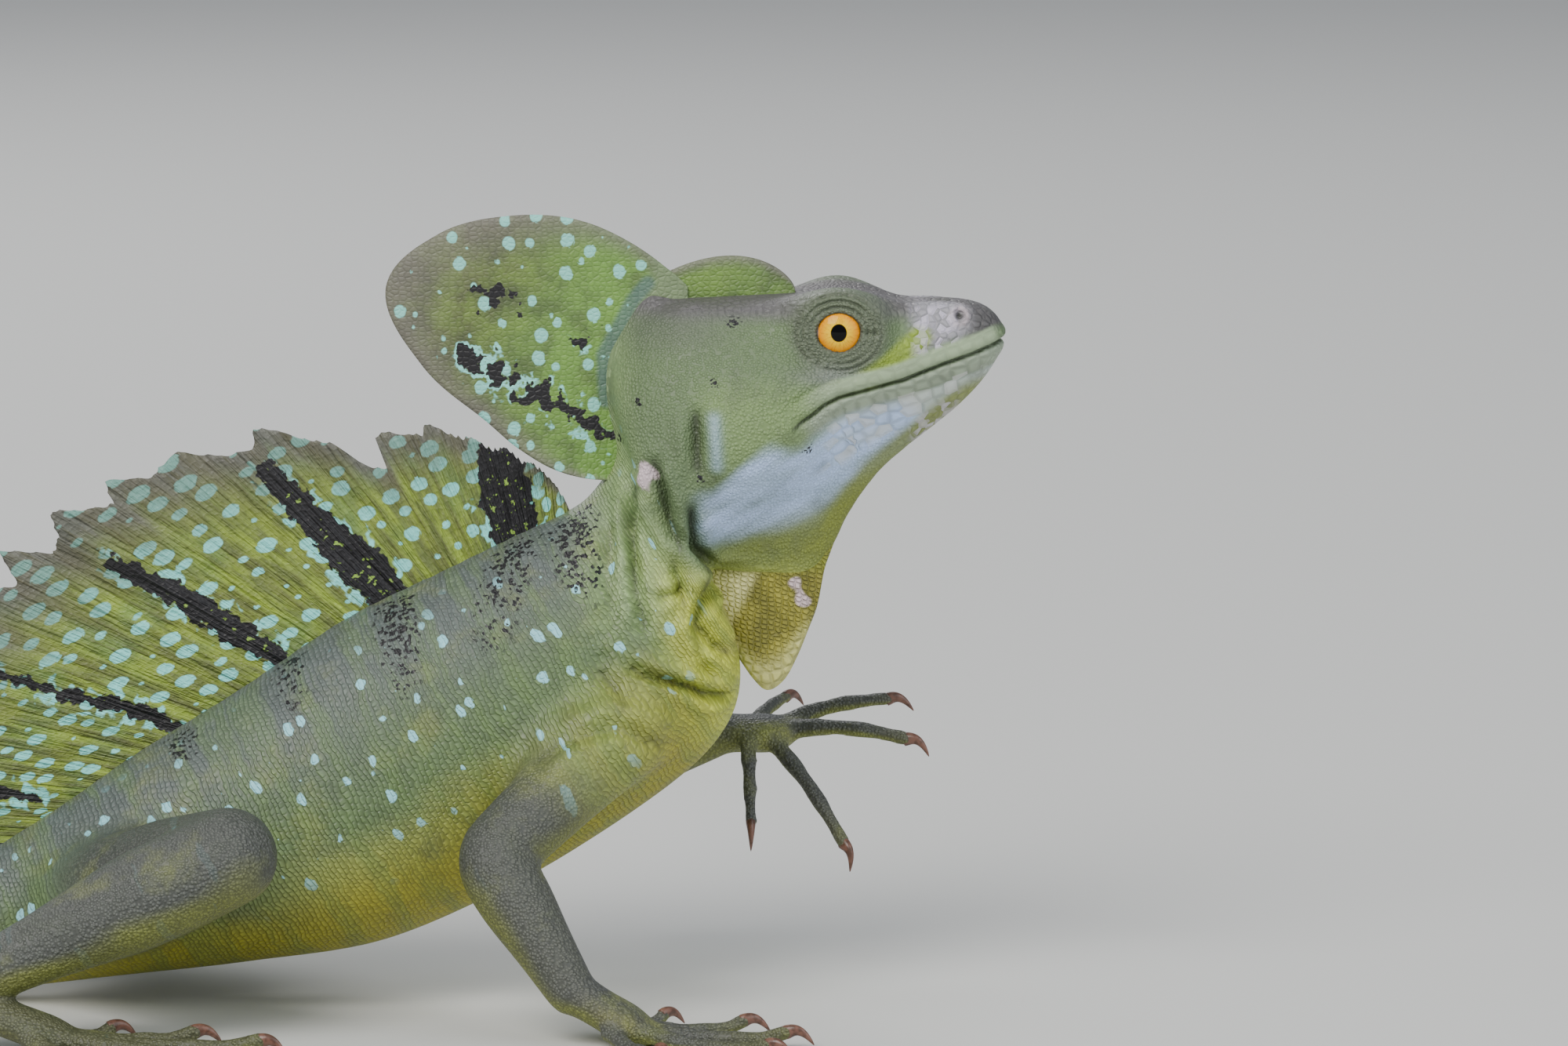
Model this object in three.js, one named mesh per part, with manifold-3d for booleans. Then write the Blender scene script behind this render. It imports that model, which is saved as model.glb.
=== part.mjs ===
// A green basilisk, an adult male at life size, as a still museum model.
// It stands with its fore body raised, its head lifted and its long tail laid out on the floor.
// Millimetres; +X is where the head points, +Y is the animal's left, +Z is up and z = 0 is the floor.

import * as THREE from "three";
import Module from "manifold-3d";
import { mergeVertices } from "three/addons/utils/BufferGeometryUtils.js";

const wasm = await Module();
wasm.setup();

const GAP = 0.3; // what parts that touch keep between them
const SOLE_SINK = 0.25; // how far a sole or the tail dips under the floor before it is cut flat
const TAIL_LENGTH = 470;
const EYE_RADIUS = 5;
const EYE = new THREE.Vector3(34.3, -8, 111.3); // the right one
const RAY_COLUMNS = 4; // steps of the sail's surface across one of its rays
const TAIL_RAY_COLUMNS = 3; // and of the tail crest's

const skin = (colour) => new THREE.MeshStandardMaterial({ color: colour, roughness: 0.6, metalness: 0 });
const flankGreen = skin(0x6f8f45);
const headGreen = skin(0x7f9e5c);
const legGrey = skin(0x707a5a);
const throatYellow = skin(0xa8a83c);
const crestGreen = skin(0x8f9b3f);
const tailGreen = skin(0x5f7440);
const hornBrown = new THREE.MeshStandardMaterial({ color: 0x5b4638, roughness: 0.4, metalness: 0 });
const eyeYellow = new THREE.MeshStandardMaterial({ color: 0xe0a020, roughness: 0.1, metalness: 0 });

// A repeatable draw from 0 to 1 for the number k of a series.
const draw = (k, series = 1) => {
  const x = Math.sin(k * 127.1 + series * 311.7) * 43758.5453;
  return x - Math.floor(x);
};

// The smooth curve through a list of numbers, read at t, where whole numbers are the entries.
function along(list, t) {
  const i = Math.max(0, Math.min(Math.floor(t), list.length - 2));
  const f = t - i;
  const [b, c] = [list[i], list[i + 1]];
  const a = list[i - 1] ?? 2 * b - c;
  const d = list[i + 2] ?? 2 * c - b;
  return b + 0.5 * f * (c - a + f * (2 * a - 5 * b + 4 * c - d + f * (3 * (b - c) + d - a)));
}

function toSolid(geometry) {
  geometry.deleteAttribute("normal");
  geometry.deleteAttribute("uv");
  const merged = mergeVertices(geometry, 1e-4);
  return new wasm.Manifold(
    new wasm.Mesh({
      numProp: 3,
      vertProperties: new Float32Array(merged.attributes.position.array),
      triVerts: new Uint32Array(merged.index.array),
    }),
  );
}

// A closed solid through rings of points, all of one length, with a fan over each end.
function loft(rings) {
  const n = rings[0].length;
  const middle = (ring) => ring.reduce((sum, p) => sum.add(p), new THREE.Vector3()).divideScalar(n);
  const points = [...rings.flat(), middle(rings[0]), middle(rings.at(-1))];
  const index = [];
  for (let k = 0; k < n; k++) {
    const next = (k + 1) % n;
    for (let r = 0; r + 1 < rings.length; r++) {
      const [a, b, c, d] = [r * n + k, r * n + next, (r + 1) * n + next, (r + 1) * n + k];
      index.push(a, b, c, a, c, d);
    }
    const last = (rings.length - 1) * n;
    index.push(points.length - 2, next, k, points.length - 1, last + k, last + next);
  }
  const solid = toSolid(new THREE.BufferGeometry().setFromPoints(points).setIndex(index));
  if (solid.volume() > 0) return solid;
  return toSolid(new THREE.BufferGeometry().setFromPoints(points).setIndex(index.reverse()));
}

// A thin fin: middle(u, v) is its middle surface and half(u, v) half its thickness, offset along side.
// Both faces are split into triangles alike.
function fin(columns, rows, middle, half, side = () => new THREE.Vector3(0, 1, 0)) {
  const points = [];
  for (const sign of [-1, 1])
    for (let i = 0; i <= columns; i++)
      for (let j = 0; j <= rows; j++) {
        const [u, v] = [i / columns, j / rows];
        points.push(middle(u, v).addScaledVector(side(u), sign * half(u, v)));
      }
  const at = (face, i, j) => (face * (columns + 1) + i) * (rows + 1) + j;
  const index = [];
  const quad = (a, b, c, d) => index.push(a, b, c, a, c, d);
  for (let i = 0; i < columns; i++)
    for (let j = 0; j < rows; j++) {
      quad(at(0, i, j), at(0, i + 1, j), at(0, i + 1, j + 1), at(0, i, j + 1));
      index.push(at(1, i, j), at(1, i + 1, j + 1), at(1, i + 1, j));
      index.push(at(1, i, j), at(1, i, j + 1), at(1, i + 1, j + 1));
    }
  for (let i = 0; i < columns; i++) {
    quad(at(0, i + 1, 0), at(0, i, 0), at(1, i, 0), at(1, i + 1, 0));
    quad(at(0, i, rows), at(0, i + 1, rows), at(1, i + 1, rows), at(1, i, rows));
  }
  for (let j = 0; j < rows; j++) {
    quad(at(0, 0, j), at(0, 0, j + 1), at(1, 0, j + 1), at(1, 0, j));
    quad(at(0, columns, j + 1), at(0, columns, j), at(1, columns, j), at(1, columns, j + 1));
  }
  const solid = toSolid(new THREE.BufferGeometry().setFromPoints(points).setIndex(index));
  if (solid.volume() > 0) return solid;
  return toSolid(new THREE.BufferGeometry().setFromPoints(points).setIndex(index.reverse()));
}

function ellipsoid(centre, radii, sides = 10, rows = 6) {
  const ball = new THREE.SphereGeometry(1, sides, rows).scale(...radii);
  return toSolid(ball.translate(centre.x, centre.y, centre.z));
}

const box = (x, y, z, sizes) => toSolid(new THREE.BoxGeometry(...sizes).translate(x, y, z));
const underFloor = box(-200, 0, -25, [1400, 600, 50]);
const largest = (solid) => solid.decompose().reduce((a, b) => (b.volume() > a.volume() ? b : a));
const mirrored = (p, side) => new THREE.Vector3(p.x, p.y * side, p.z);

// Neck, trunk and tail: ribs from the nape to the pelvis, each from its dorsal to its ventral point.
const rib = {
  dorsalX: [-1.3, -1.9, -4.5, -8.3, -17.9, -30.6, -45.9, -63.8, -80.3, -94.4, -109.7],
  dorsalZ: [96.3, 89.9, 85.4, 81.5, 77, 70.8, 63.2, 51.2, 40.9, 31.3, 22.8],
  ventralX: [12.8, 17.2, 18.5, 15.9, 8.9, -5.5, -20.4, -40.2, -61.3, -79, -102],
  ventralZ: [71.8, 61.5, 52.5, 44.8, 37.1, 27, 18.4, 10, 6.6, 4.4, 1.6],
  halfWidth: [12.6, 12, 12.4, 14, 15.6, 17, 18, 18.4, 16.8, 13.6, 9.6],
};
const TRUNK_END = rib.dorsalX.length - 1;
const NECK_TO_TORSO = 3;
const TORSO_TO_TAIL = 9.5;

// The tail's middle line: it swings from side to side on the floor and thins to a whip.
const TAIL_RIBS = 24;
const TAIL_SWING = 0.5; // radians
const tailHalfDepth = (s) => 10.2 * (1 - s) ** 1.15 + 0.9;
const tail = [];
{
  const at = new THREE.Vector3(
    (rib.dorsalX[TRUNK_END] + rib.ventralX[TRUNK_END]) / 2,
    0,
    (rib.dorsalZ[TRUNK_END] + rib.ventralZ[TRUNK_END]) / 2,
  );
  const step = TAIL_LENGTH / TAIL_RIBS;
  for (let k = 1; k <= TAIL_RIBS; k++) {
    const s = k / TAIL_RIBS;
    const heading = Math.PI - TAIL_SWING * Math.sin(2.1 * Math.PI * s ** 0.9);
    at.x += step * Math.cos(heading);
    at.y += step * Math.sin(heading);
    const halfDepth = tailHalfDepth(s);
    const squeeze = 0.86 + 0.12 * s;
    tail.push({
      centre: new THREE.Vector3(at.x, at.y, halfDepth - SOLE_SINK),
      up: new THREE.Vector3(0, 0, halfDepth),
      side: new THREE.Vector3(Math.sin(heading), -Math.cos(heading), 0).multiplyScalar(halfDepth * squeeze),
    });
  }
}

const ribs = rib.dorsalX.map((x, i) => ({
  centre: new THREE.Vector3((x + rib.ventralX[i]) / 2, 0, (rib.dorsalZ[i] + rib.ventralZ[i]) / 2),
  up: new THREE.Vector3((x - rib.ventralX[i]) / 2, 0, (rib.dorsalZ[i] - rib.ventralZ[i]) / 2),
  side: new THREE.Vector3(0, rib.halfWidth[i], 0),
}));
ribs.push(...tail);
const BODY_END = ribs.length - 1;

function ribAt(t) {
  const blend = (key) =>
    new THREE.Vector3(...["x", "y", "z"].map((axis) => along(ribs.map((r) => r[key][axis]), t)));
  return { centre: blend("centre"), up: blend("up"), side: blend("side") };
}

// The ring round the body at t; the trunk is fuller below its middle than above it.
function bodyRing(t, sides, grow = 0) {
  const { centre, up, side } = ribAt(t);
  const pear = 0.14 * THREE.MathUtils.smoothstep(TRUNK_END - t, 0, 6);
  const tall = up.clone().setLength(up.length() + grow);
  const wide = side.clone().setLength(side.length() + grow);
  return Array.from({ length: sides }, (_, k) => {
    const a = (2 * Math.PI * k) / sides;
    const across = Math.sin(a) * (1 - pear * Math.cos(a));
    return centre.clone().addScaledVector(tall, Math.cos(a)).addScaledVector(wide, across);
  });
}

function bodyPart(from, to, steps, sides, grow = 0) {
  const rings = Array.from({ length: steps + 1 }, (_, k) => bodyRing(from + ((to - from) * k) / steps, sides, grow));
  return loft(rings);
}

const dorsal = (t, sink) => {
  const { centre, up } = ribAt(t);
  return centre.add(up.clone().setLength(up.length() - sink));
};

// The head: stations from the nape to the snout, each from its crown to its lowest point at the throat
// or chin, with half widths at the throat, jaw, cheek and crown.
const station = {
  crownX: [-1.5, -2.8, 0, 6.4, 15.3, 24.2, 33.2, 39.5, 44.6, 49.7, 54.2, 57.6, 60, 61.2],
  crownZ: [95.2, 103, 110.4, 115, 115.8, 116.2, 116.6, 116.2, 115.2, 115.6, 115.4, 114.6, 112.8, 110.6],
  throatX: [12.8, 17.2, 23.6, 29.3, 33.4, 36.3, 40.5, 45.3, 49.7, 54.2, 57.6, 59.7, 60.8, 61.3],
  throatZ: [71.8, 70.2, 69.3, 69.6, 74.4, 80.2, 86.3, 90.9, 94.4, 98.2, 101.8, 104.8, 107, 108.8],
  throat: [10, 8.6, 6.6, 5.4, 4.6, 4.2, 4.4, 4.8, 5, 4.8, 4.2, 3.2, 2, 0.9],
  jaw: [13.2, 14.4, 15.4, 15.6, 15, 13.4, 11.8, 10.4, 9, 7.6, 6.3, 4.9, 3.2, 1.4],
  cheek: [12.4, 12.8, 13.4, 13.4, 12.8, 11.6, 10.6, 9.4, 8.2, 7, 5.8, 4.6, 3, 1.3],
  crown: [7.6, 6.4, 6.6, 7.2, 7.6, 8.2, 8.6, 7.2, 6.2, 5.3, 4.3, 3.2, 2, 0.8],
};
const HEAD_END = station.crownX.length - 1;
const HEAD_STEPS = 18; // rings of the head
const HEAD_SIDES = 9; // sides of each half ring
const SECTION_HEIGHTS = [0.2, 0, 0.2, 0.5, 0.78, 0.95, 1, 0.95];

function headRing(t, perSide, grow = 0) {
  const read = (key) => along(station[key], t);
  const crown = new THREE.Vector3(read("crownX"), 0, read("crownZ"));
  const throat = new THREE.Vector3(read("throatX"), 0, read("throatZ"));
  const up = crown.clone().sub(throat);
  const tall = up.length();
  up.normalize();
  const w = ["throat", "jaw", "cheek", "crown"].map((key) => Math.max(0.4, read(key) + grow));
  const widths = [-w[0], 0, w[0], w[1], w[2], w[3], 0, -w[3]];
  const half = [];
  for (let k = 0; k <= perSide; k++) {
    const q = 1 + (5 * k) / perSide;
    const height = along(SECTION_HEIGHTS, q) * (tall + 2 * grow) - grow;
    half.push([k === 0 || k === perSide ? 0 : along(widths, q), height]);
  }
  const ring = [...half, ...half.slice(1, -1).reverse().map(([y, h]) => [-y, h])];
  return ring.map(([y, h]) => throat.clone().addScaledVector(up, h).setY(y));
}

function headLoft(steps, perSide, grow = 0, from = 0) {
  const rings = Array.from({ length: steps + 1 }, (_, k) =>
    headRing(from + ((HEAD_END - from) * k) / steps, perSide, grow),
  );
  return loft(rings);
}

const headGrown = headLoft(HEAD_STEPS, HEAD_SIDES, GAP);
const bodyGrown = bodyPart(0, BODY_END, 66, 20, GAP);
const neckGrown = bodyPart(-0.04, NECK_TO_TORSO + 1, 9, 24, GAP);

// The mouth: a thin groove on both sides from the snout to the corner behind the eye.
const MOUTH_X = [63, 57.5, 52, 45, 38, 33, 29.5];
const MOUTH_Z = [109.6, 106.6, 104.2, 102, 100.8, 99.2, 97];
const GROOVE_WIDTH = 0.55;
const GROOVE_DEPTH = 0.9;
const LIP_WIDTH = 2.6;
const LIP_RISE = 0.35;
const MOUTH_STEPS = 7;

// The strip along the mouth of a given width, as a plate that reaches across the head.
function mouthStrip(width) {
  const line = new THREE.CatmullRomCurve3(MOUTH_X.map((x, i) => new THREE.Vector3(x, MOUTH_Z[i], 0)));
  const points = line.getPoints(MOUTH_STEPS);
  const offset = (side) =>
    points.map((p, i) => {
      const slope = line.getTangent(i / MOUTH_STEPS);
      const taper = i === MOUTH_STEPS ? 0.2 : 1;
      return new THREE.Vector2(p.x - side * slope.y * width * taper, p.y + side * slope.x * width * taper);
    });
  const outline = new THREE.Shape([...offset(0.5), ...offset(-0.5).reverse()]);
  const plate = new THREE.ExtrudeGeometry(outline, { depth: 60, bevelEnabled: false });
  return toSolid(plate.translate(0, 0, -30).rotateX(Math.PI / 2));
}

// What belongs to one side of the head, given for the right side and mirrored for the left.
const BROW = { at: new THREE.Vector3(34.5, -7.6, 115.9), radii: [9, 3.4, 2.4] };
const ORBIT = { at: new THREE.Vector3(34.3, -7.2, 111), radii: [8.4, 5.6, 6.6] };
const JOWL = { at: new THREE.Vector3(17, -10.6, 89), radii: [11.5, 5.5, 11] };
const NOSTRIL = { at: new THREE.Vector3(54.6, -4.9, 112.2), radii: [0.8, 0.9, 0.6] };
const EAR = { at: new THREE.Vector3(11.6, -15, 93), radii: [1.6, 2, 4.2] };
const LID_RINGS = [
  { radius: 4.15, tube: 0.55, out: 3.5 },
  { radius: 5.3, tube: 0.5, out: 2.9 },
];

function headSolid() {
  let head = headLoft(HEAD_STEPS, HEAD_SIDES);
  for (const side of [1, -1]) {
    for (const lump of [BROW, ORBIT, JOWL])
      head = head.add(ellipsoid(mirrored(lump.at, side), lump.radii));
  }
  head = head.add(mouthStrip(LIP_WIDTH).intersect(headLoft(HEAD_STEPS, HEAD_SIDES, LIP_RISE)));
  head = head.subtract(mouthStrip(GROOVE_WIDTH).subtract(headLoft(HEAD_STEPS, HEAD_SIDES, -GROOVE_DEPTH)));
  for (const side of [1, -1]) {
    const eye = mirrored(EYE, side);
    const socket = new THREE.SphereGeometry(EYE_RADIUS + GAP, 12, 8);
    const opening = new THREE.CylinderGeometry(3.9, 3.9, 8, 14).translate(eye.x, eye.y - 6 * side, eye.z);
    for (const { radius, tube, out } of LID_RINGS) {
      const ring = new THREE.TorusGeometry(radius, tube, 4, 14).rotateX(Math.PI / 2);
      head = head.add(toSolid(ring.translate(eye.x, eye.y - out * side, eye.z)));
    }
    head = head.subtract(toSolid(socket.translate(eye.x, eye.y, eye.z)));
    head = head.subtract(toSolid(opening));
    head = head.subtract(ellipsoid(mirrored(NOSTRIL.at, side), NOSTRIL.radii, 6, 4));
    head = head.subtract(ellipsoid(mirrored(EAR.at, side), EAR.radii, 8, 5));
  }
  return largest(head.subtract(neckGrown));
}

// The head's rear crest: a rounded upright lobe behind the skull, leaning a little to the right.
// Its rim is given by its distance from a point in the skull, at even steps of the angle.
const CREST_ROOT = { fromX: 10, fromZ: 110, toX: 3.5, toZ: 86 };
const CREST_CENTRE = { x: 4, z: 102 };
const CREST_ANGLES = { from: 69, to: 252 };
const CREST_RIM = [16.5, 19, 23.2, 29, 35.2, 42, 46.6, 36, 28, 24.3, 21.4, 18.8, 16.6];
const CREST_LEAN = 2.2;
const CREST_HALF = { root: 1.6, rim: 0.4 };

function rearCrestPoint(u, v, past) {
  const angle = THREE.MathUtils.degToRad(THREE.MathUtils.lerp(CREST_ANGLES.from, CREST_ANGLES.to, u));
  const reach = along(CREST_RIM, u * (CREST_RIM.length - 1)) + past;
  const rim = [CREST_CENTRE.x + reach * Math.cos(angle), CREST_CENTRE.z + reach * Math.sin(angle)];
  const rootX = THREE.MathUtils.lerp(CREST_ROOT.fromX, CREST_ROOT.toX, u);
  const rootZ = THREE.MathUtils.lerp(CREST_ROOT.fromZ, CREST_ROOT.toZ, u);
  const lean = -CREST_LEAN * v * THREE.MathUtils.smoothstep(u, 0.2, 0.9);
  return new THREE.Vector3(THREE.MathUtils.lerp(rootX, rim[0], v), lean, THREE.MathUtils.lerp(rootZ, rim[1], v));
}

const rearCrestMiddle = (u, v) => rearCrestPoint(u, v, 0);
const rearCrestPast = (u, v) => rearCrestPoint(u, v, 2 * GAP); // its outline grown by a little more than the gap

// The front crest: a low arched fin on the crown behind the eyes.
const FRONT_CREST = { fromX: 28.5, toX: 1, rise: 6.6 };

function frontCrestMiddle(u, v) {
  const x = THREE.MathUtils.lerp(FRONT_CREST.fromX, FRONT_CREST.toX, u);
  const crown = 116.4 - 0.004 * (x - 30) ** 2;
  const rise = FRONT_CREST.rise * Math.sin(Math.PI * u ** 0.8) ** 0.7;
  return new THREE.Vector3(x - 3 * v * u, 0.9, crown - 2 + (rise + 2) * v);
}

// The dewlap: a loose flap under the throat that hangs to a blunt point, its back edge on the neck.
const DEWLAP_ROOT = { frontX: 31, backX: 11, z: 76 };
const DEWLAP_RIM_X = [32, 31, 29.6, 27.6, 25.5, 22.8, 20.4, 17.2, 13];
const DEWLAP_RIM_Z = [71, 65.5, 61.6, 56.6, 52.9, 51.3, 53.2, 57.7, 62.5];

function dewlapMiddle(u, v) {
  const rootX = THREE.MathUtils.lerp(DEWLAP_ROOT.frontX, DEWLAP_ROOT.backX, u);
  const k = u * (DEWLAP_RIM_X.length - 1);
  const x = THREE.MathUtils.lerp(rootX, along(DEWLAP_RIM_X, k), v);
  return new THREE.Vector3(x, 0, THREE.MathUtils.lerp(DEWLAP_ROOT.z, along(DEWLAP_RIM_Z, k), v));
}

// The dorsal sail: rays that fan backwards from the spine, from upright at the shoulder to level at the hip.
const SAIL = { from: 3.05, to: 9.4, rays: 22, sink: 1.6 };
const SAIL_RAY_ANGLE = [86, 76, 56, 38, 25, 12, 3, 0]; // degrees above the tail's direction, at ribs 3 to 10
const SAIL_RAY_LENGTH = [4, 18, 31.5, 43, 49, 47.5, 30, 8];
const SAIL_TEETH = 9;

// How far the rim stands out at u: long teeth, each of a few rays whose own tips show.
function serration(u, rays, teeth, series) {
  const tooth = u * teeth;
  const saw = 1 - (tooth - Math.floor(tooth));
  const tip = 0.5 + 0.5 * Math.cos(2 * Math.PI * u * rays);
  return 0.86 + 0.09 * saw * (0.5 + draw(Math.floor(tooth), series)) + 0.05 * tip;
}

function sailMiddle(u, v) {
  const t = THREE.MathUtils.lerp(SAIL.from, SAIL.to, u);
  const root = dorsal(t, SAIL.sink);
  const angle = THREE.MathUtils.degToRad(180 - along(SAIL_RAY_ANGLE, t - 3));
  const reach = SAIL.sink + along(SAIL_RAY_LENGTH, t - 3) * serration(u, SAIL.rays, SAIL_TEETH, 1);
  return root.add(new THREE.Vector3(Math.cos(angle), 0, Math.sin(angle)).multiplyScalar(reach * v));
}

// Half the thickness of a fin whose rays stand out as ridges on its membrane.
const rayed = (rays, root, rim, ridge) => (u, v) => {
  const web = THREE.MathUtils.lerp(root, rim, v);
  return web + ridge * (1 - 0.5 * v) * (0.5 + 0.5 * Math.cos(2 * Math.PI * u * rays)) ** 1.5;
};

// The tail's crest: the same kind of fin, lower, on the first third of the tail.
const TAIL_CREST = { from: 10.3, to: 19.5, rays: 22, sink: 1.2, height: 19 };

function tailCrestMiddle(from, to) {
  return (u, v) => {
    const t = THREE.MathUtils.lerp(from, to, u);
    const share = (t - TAIL_CREST.from) / (TAIL_CREST.to - TAIL_CREST.from);
    const root = dorsal(t, TAIL_CREST.sink);
    const back = ribAt(t + 0.02).centre.sub(ribAt(t - 0.02).centre).setZ(0).normalize();
    const height = TAIL_CREST.height * Math.sin(Math.PI * (0.06 + 0.9 * share)) ** 0.6 * (1 - 0.45 * share);
    const rise = TAIL_CREST.sink + height * serration(share, TAIL_CREST.rays, TAIL_CREST.rays / 2, 2);
    return root.addScaledVector(back, 0.62 * rise * v).add(new THREE.Vector3(0, 0, rise * v));
  };
}

function tailCrest(from, to) {
  const rays = Math.round((TAIL_CREST.rays * (to - from)) / (TAIL_CREST.to - TAIL_CREST.from));
  const side = (u) => ribAt(THREE.MathUtils.lerp(from, to, u)).side.normalize();
  const raw = fin(rays * TAIL_RAY_COLUMNS, 1, tailCrestMiddle(from, to), rayed(rays, 0.6, 0.32, 0.3), side);
  return largest(raw.subtract(bodyGrown));
}

// A limb's length: a round tube between two joints, its radii spaced evenly, closed by a dome at the far end.
// flat squeezes it from front to back against its other width.
function limb(from, to, radii, sides = 10, flat = 1, grow = 0) {
  const axis = to.clone().sub(from);
  const length = axis.length();
  axis.normalize();
  const across = new THREE.Vector3(0, 0, 1).cross(axis).normalize();
  const upright = axis.clone().cross(across);
  const ring = (distance, radius) => {
    const centre = from.clone().addScaledVector(axis, distance);
    return Array.from({ length: sides }, (_, k) => {
      const a = (2 * Math.PI * k) / sides;
      const [c, s] = [Math.cos(a) * radius, Math.sin(a) * radius * flat];
      return centre.clone().addScaledVector(across, c).addScaledVector(upright, s);
    });
  };
  const steps = 2 * (radii.length - 1);
  const rings = [];
  for (let k = 0; k <= steps; k++) rings.push(ring((length * k) / steps, along(radii, k / 2) + grow));
  const end = radii.at(-1) + grow;
  for (const [reach, share] of [[0.55, 0.83], [0.9, 0.42]]) rings.push(ring(length + end * reach, end * share));
  return loft(rings);
}

// Joints of each leg on its own side: y is positive outwards.
const legs = {
  right_fore: {
    side: -1,
    root: [-1, 13, 47],
    hinge: [-21.5, 29.5, 28.5],
    end: [-8.5, 37, 8.6],
    upper: [9, 7.6, 6.6, 6.2],
    lower: [6.2, 6.1, 4.9, 4.1],
    palm: { length: 9, radius: 4, spread: 4.6 },
    heading: 3,
    digits: [
      { length: 11, turn: -42, radius: 1.5 },
      { length: 19, turn: -14, radius: 1.55 },
      { length: 26, turn: 6, radius: 1.6 },
      { length: 26, turn: 25, radius: 1.55 },
      { length: 16, turn: 54, radius: 1.45 },
    ],
  },
  left_fore: {
    side: 1,
    root: [1, 13, 47],
    hinge: [-8, 36, 31],
    end: [14, 34, 38.5],
    upper: [9, 7.6, 6.6, 6.2],
    lower: [6.2, 6.1, 4.9, 4.1],
    palm: { length: 8.5, radius: 4, spread: 4.6 },
    heading: 0,
    raised: true,
    digits: [
      { tip: [20, 21, 25.5], radius: 1.45 },
      { tip: [35.5, 18, 22.5], radius: 1.55 },
      { tip: [46, 28, 38.5], radius: 1.6 },
      { tip: [43, 36, 44], radius: 1.55 },
      { tip: [26, 45, 43], radius: 1.45 },
    ],
  },
  right_hind: {
    side: -1,
    root: [-93, 5.5, 14.5],
    hinge: [-61.5, 38.5, 31],
    end: [-108, 45, 9.4],
    upper: [8.6, 10.4, 9.4, 7.8],
    lower: [7.6, 8, 5.6, 4.1],
    palm: { length: 17, radius: 3.9, spread: 4.2 },
    heading: 2,
    digits: [
      { length: 13, turn: -22, radius: 1.6 },
      { length: 23, turn: -7, radius: 1.7 },
      { length: 34, turn: 6, radius: 1.8 },
      { length: 45, turn: 20, radius: 1.85 },
      { length: 24, turn: 46, radius: 1.6 },
    ],
  },
  left_hind: {
    side: 1,
    root: [-93, 5.5, 14.5],
    hinge: [-68, 41, 29],
    end: [-115, 44, 9.4],
    upper: [8.6, 10.4, 9.4, 7.8],
    lower: [7.6, 8, 5.6, 4.1],
    palm: { length: 17, radius: 3.9, spread: 4.2 },
    heading: 8,
    digits: [
      { length: 13, turn: -24, radius: 1.6 },
      { length: 23, turn: -8, radius: 1.7 },
      { length: 34, turn: 5, radius: 1.8 },
      { length: 45, turn: 19, radius: 1.85 },
      { length: 24, turn: 48, radius: 1.6 },
    ],
  },
};

const PALM_FLATNESS = 0.6;
const DIGIT_STEPS = 5;
const DIGIT_SIDES = 6;
const CLAW_LENGTH = 4.2;
const CLAW_SIDES = 4;
const CLAW_LIFT = 1.5; // how high a digit's tip stands over the floor

// A digit's middle line. One on the floor comes down from the palm, lies along the floor and lifts its tip;
// one of a raised hand runs in a low arch to its own tip.
function digitPath(base, tip, radius, raised) {
  const reach = tip.clone().sub(base).setZ(0);
  const across = new THREE.Vector3(-reach.y, reach.x, 0).normalize();
  const arch = 0.06 * base.distanceTo(tip);
  const point = (s) => {
    if (raised) return base.clone().lerp(tip, s).add(new THREE.Vector3(0, 0, arch * Math.sin(Math.PI * s)));
    const down = THREE.MathUtils.smoothstep(s, 0, 0.45);
    const lift = CLAW_LIFT * Math.max(0, (s - 0.72) / 0.28) ** 2;
    return base.clone().addScaledVector(reach, s).setZ(THREE.MathUtils.lerp(base.z, radius - SOLE_SINK, down) + lift);
  };
  const forward = (s) => point(s + 0.02).sub(point(s - 0.02)).normalize();
  const thick = (s) => radius * (1.12 - 0.3 * s) * (1 + 0.07 * Math.cos(6 * Math.PI * s)); // fuller at its joints
  return { across, point, forward, thick };
}

// A ring of sides points round a centre, square to forward, stretched by wide across it.
function ringRound(centre, forward, across, radius, sides, turn = 0, wide = 1) {
  const normal = forward.clone().cross(across).negate();
  return Array.from({ length: sides }, (_, k) => {
    const a = (2 * Math.PI * (k + turn)) / sides;
    const point = centre.clone().addScaledVector(across, wide * radius * Math.cos(a));
    return point.addScaledVector(normal, radius * Math.sin(a));
  });
}

function digitSolid({ across, point, forward, thick }, grow = 0) {
  const ring = (s, past, radius) =>
    ringRound(point(s).addScaledVector(forward(s), past), forward(s), across, radius, DIGIT_SIDES, 0.5);
  const rings = Array.from({ length: DIGIT_STEPS + 1 }, (_, k) => ring(k / DIGIT_STEPS, 0, thick(k / DIGIT_STEPS) + grow));
  rings.push(ring(1, 0.6 + grow, 0.6 * thick(1) + grow));
  return loft(rings);
}

// A claw springs from the tip of its digit and hooks downwards.
function clawSolid({ across, point, forward, thick }) {
  const ahead = forward(1);
  if (ahead.z > 0) ahead.setZ(0).normalize();
  const down = across.clone().cross(ahead);
  const rings = [0, 0.4, 0.75, 1].map((s) => {
    const bend = THREE.MathUtils.degToRad(8 + 62 * s);
    const centre = point(1).addScaledVector(ahead, CLAW_LENGTH * s).addScaledVector(down, 2.1 * s ** 2 - 0.5 * Math.sin(Math.PI * s));
    const along = ahead.clone().multiplyScalar(Math.cos(bend)).addScaledVector(down, Math.sin(bend));
    return ringRound(centre, along, across, 0.78 * thick(1) * (1 - s) ** 0.8 + 0.16, CLAW_SIDES, 0, 0.8);
  });
  return loft(rings);
}

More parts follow.
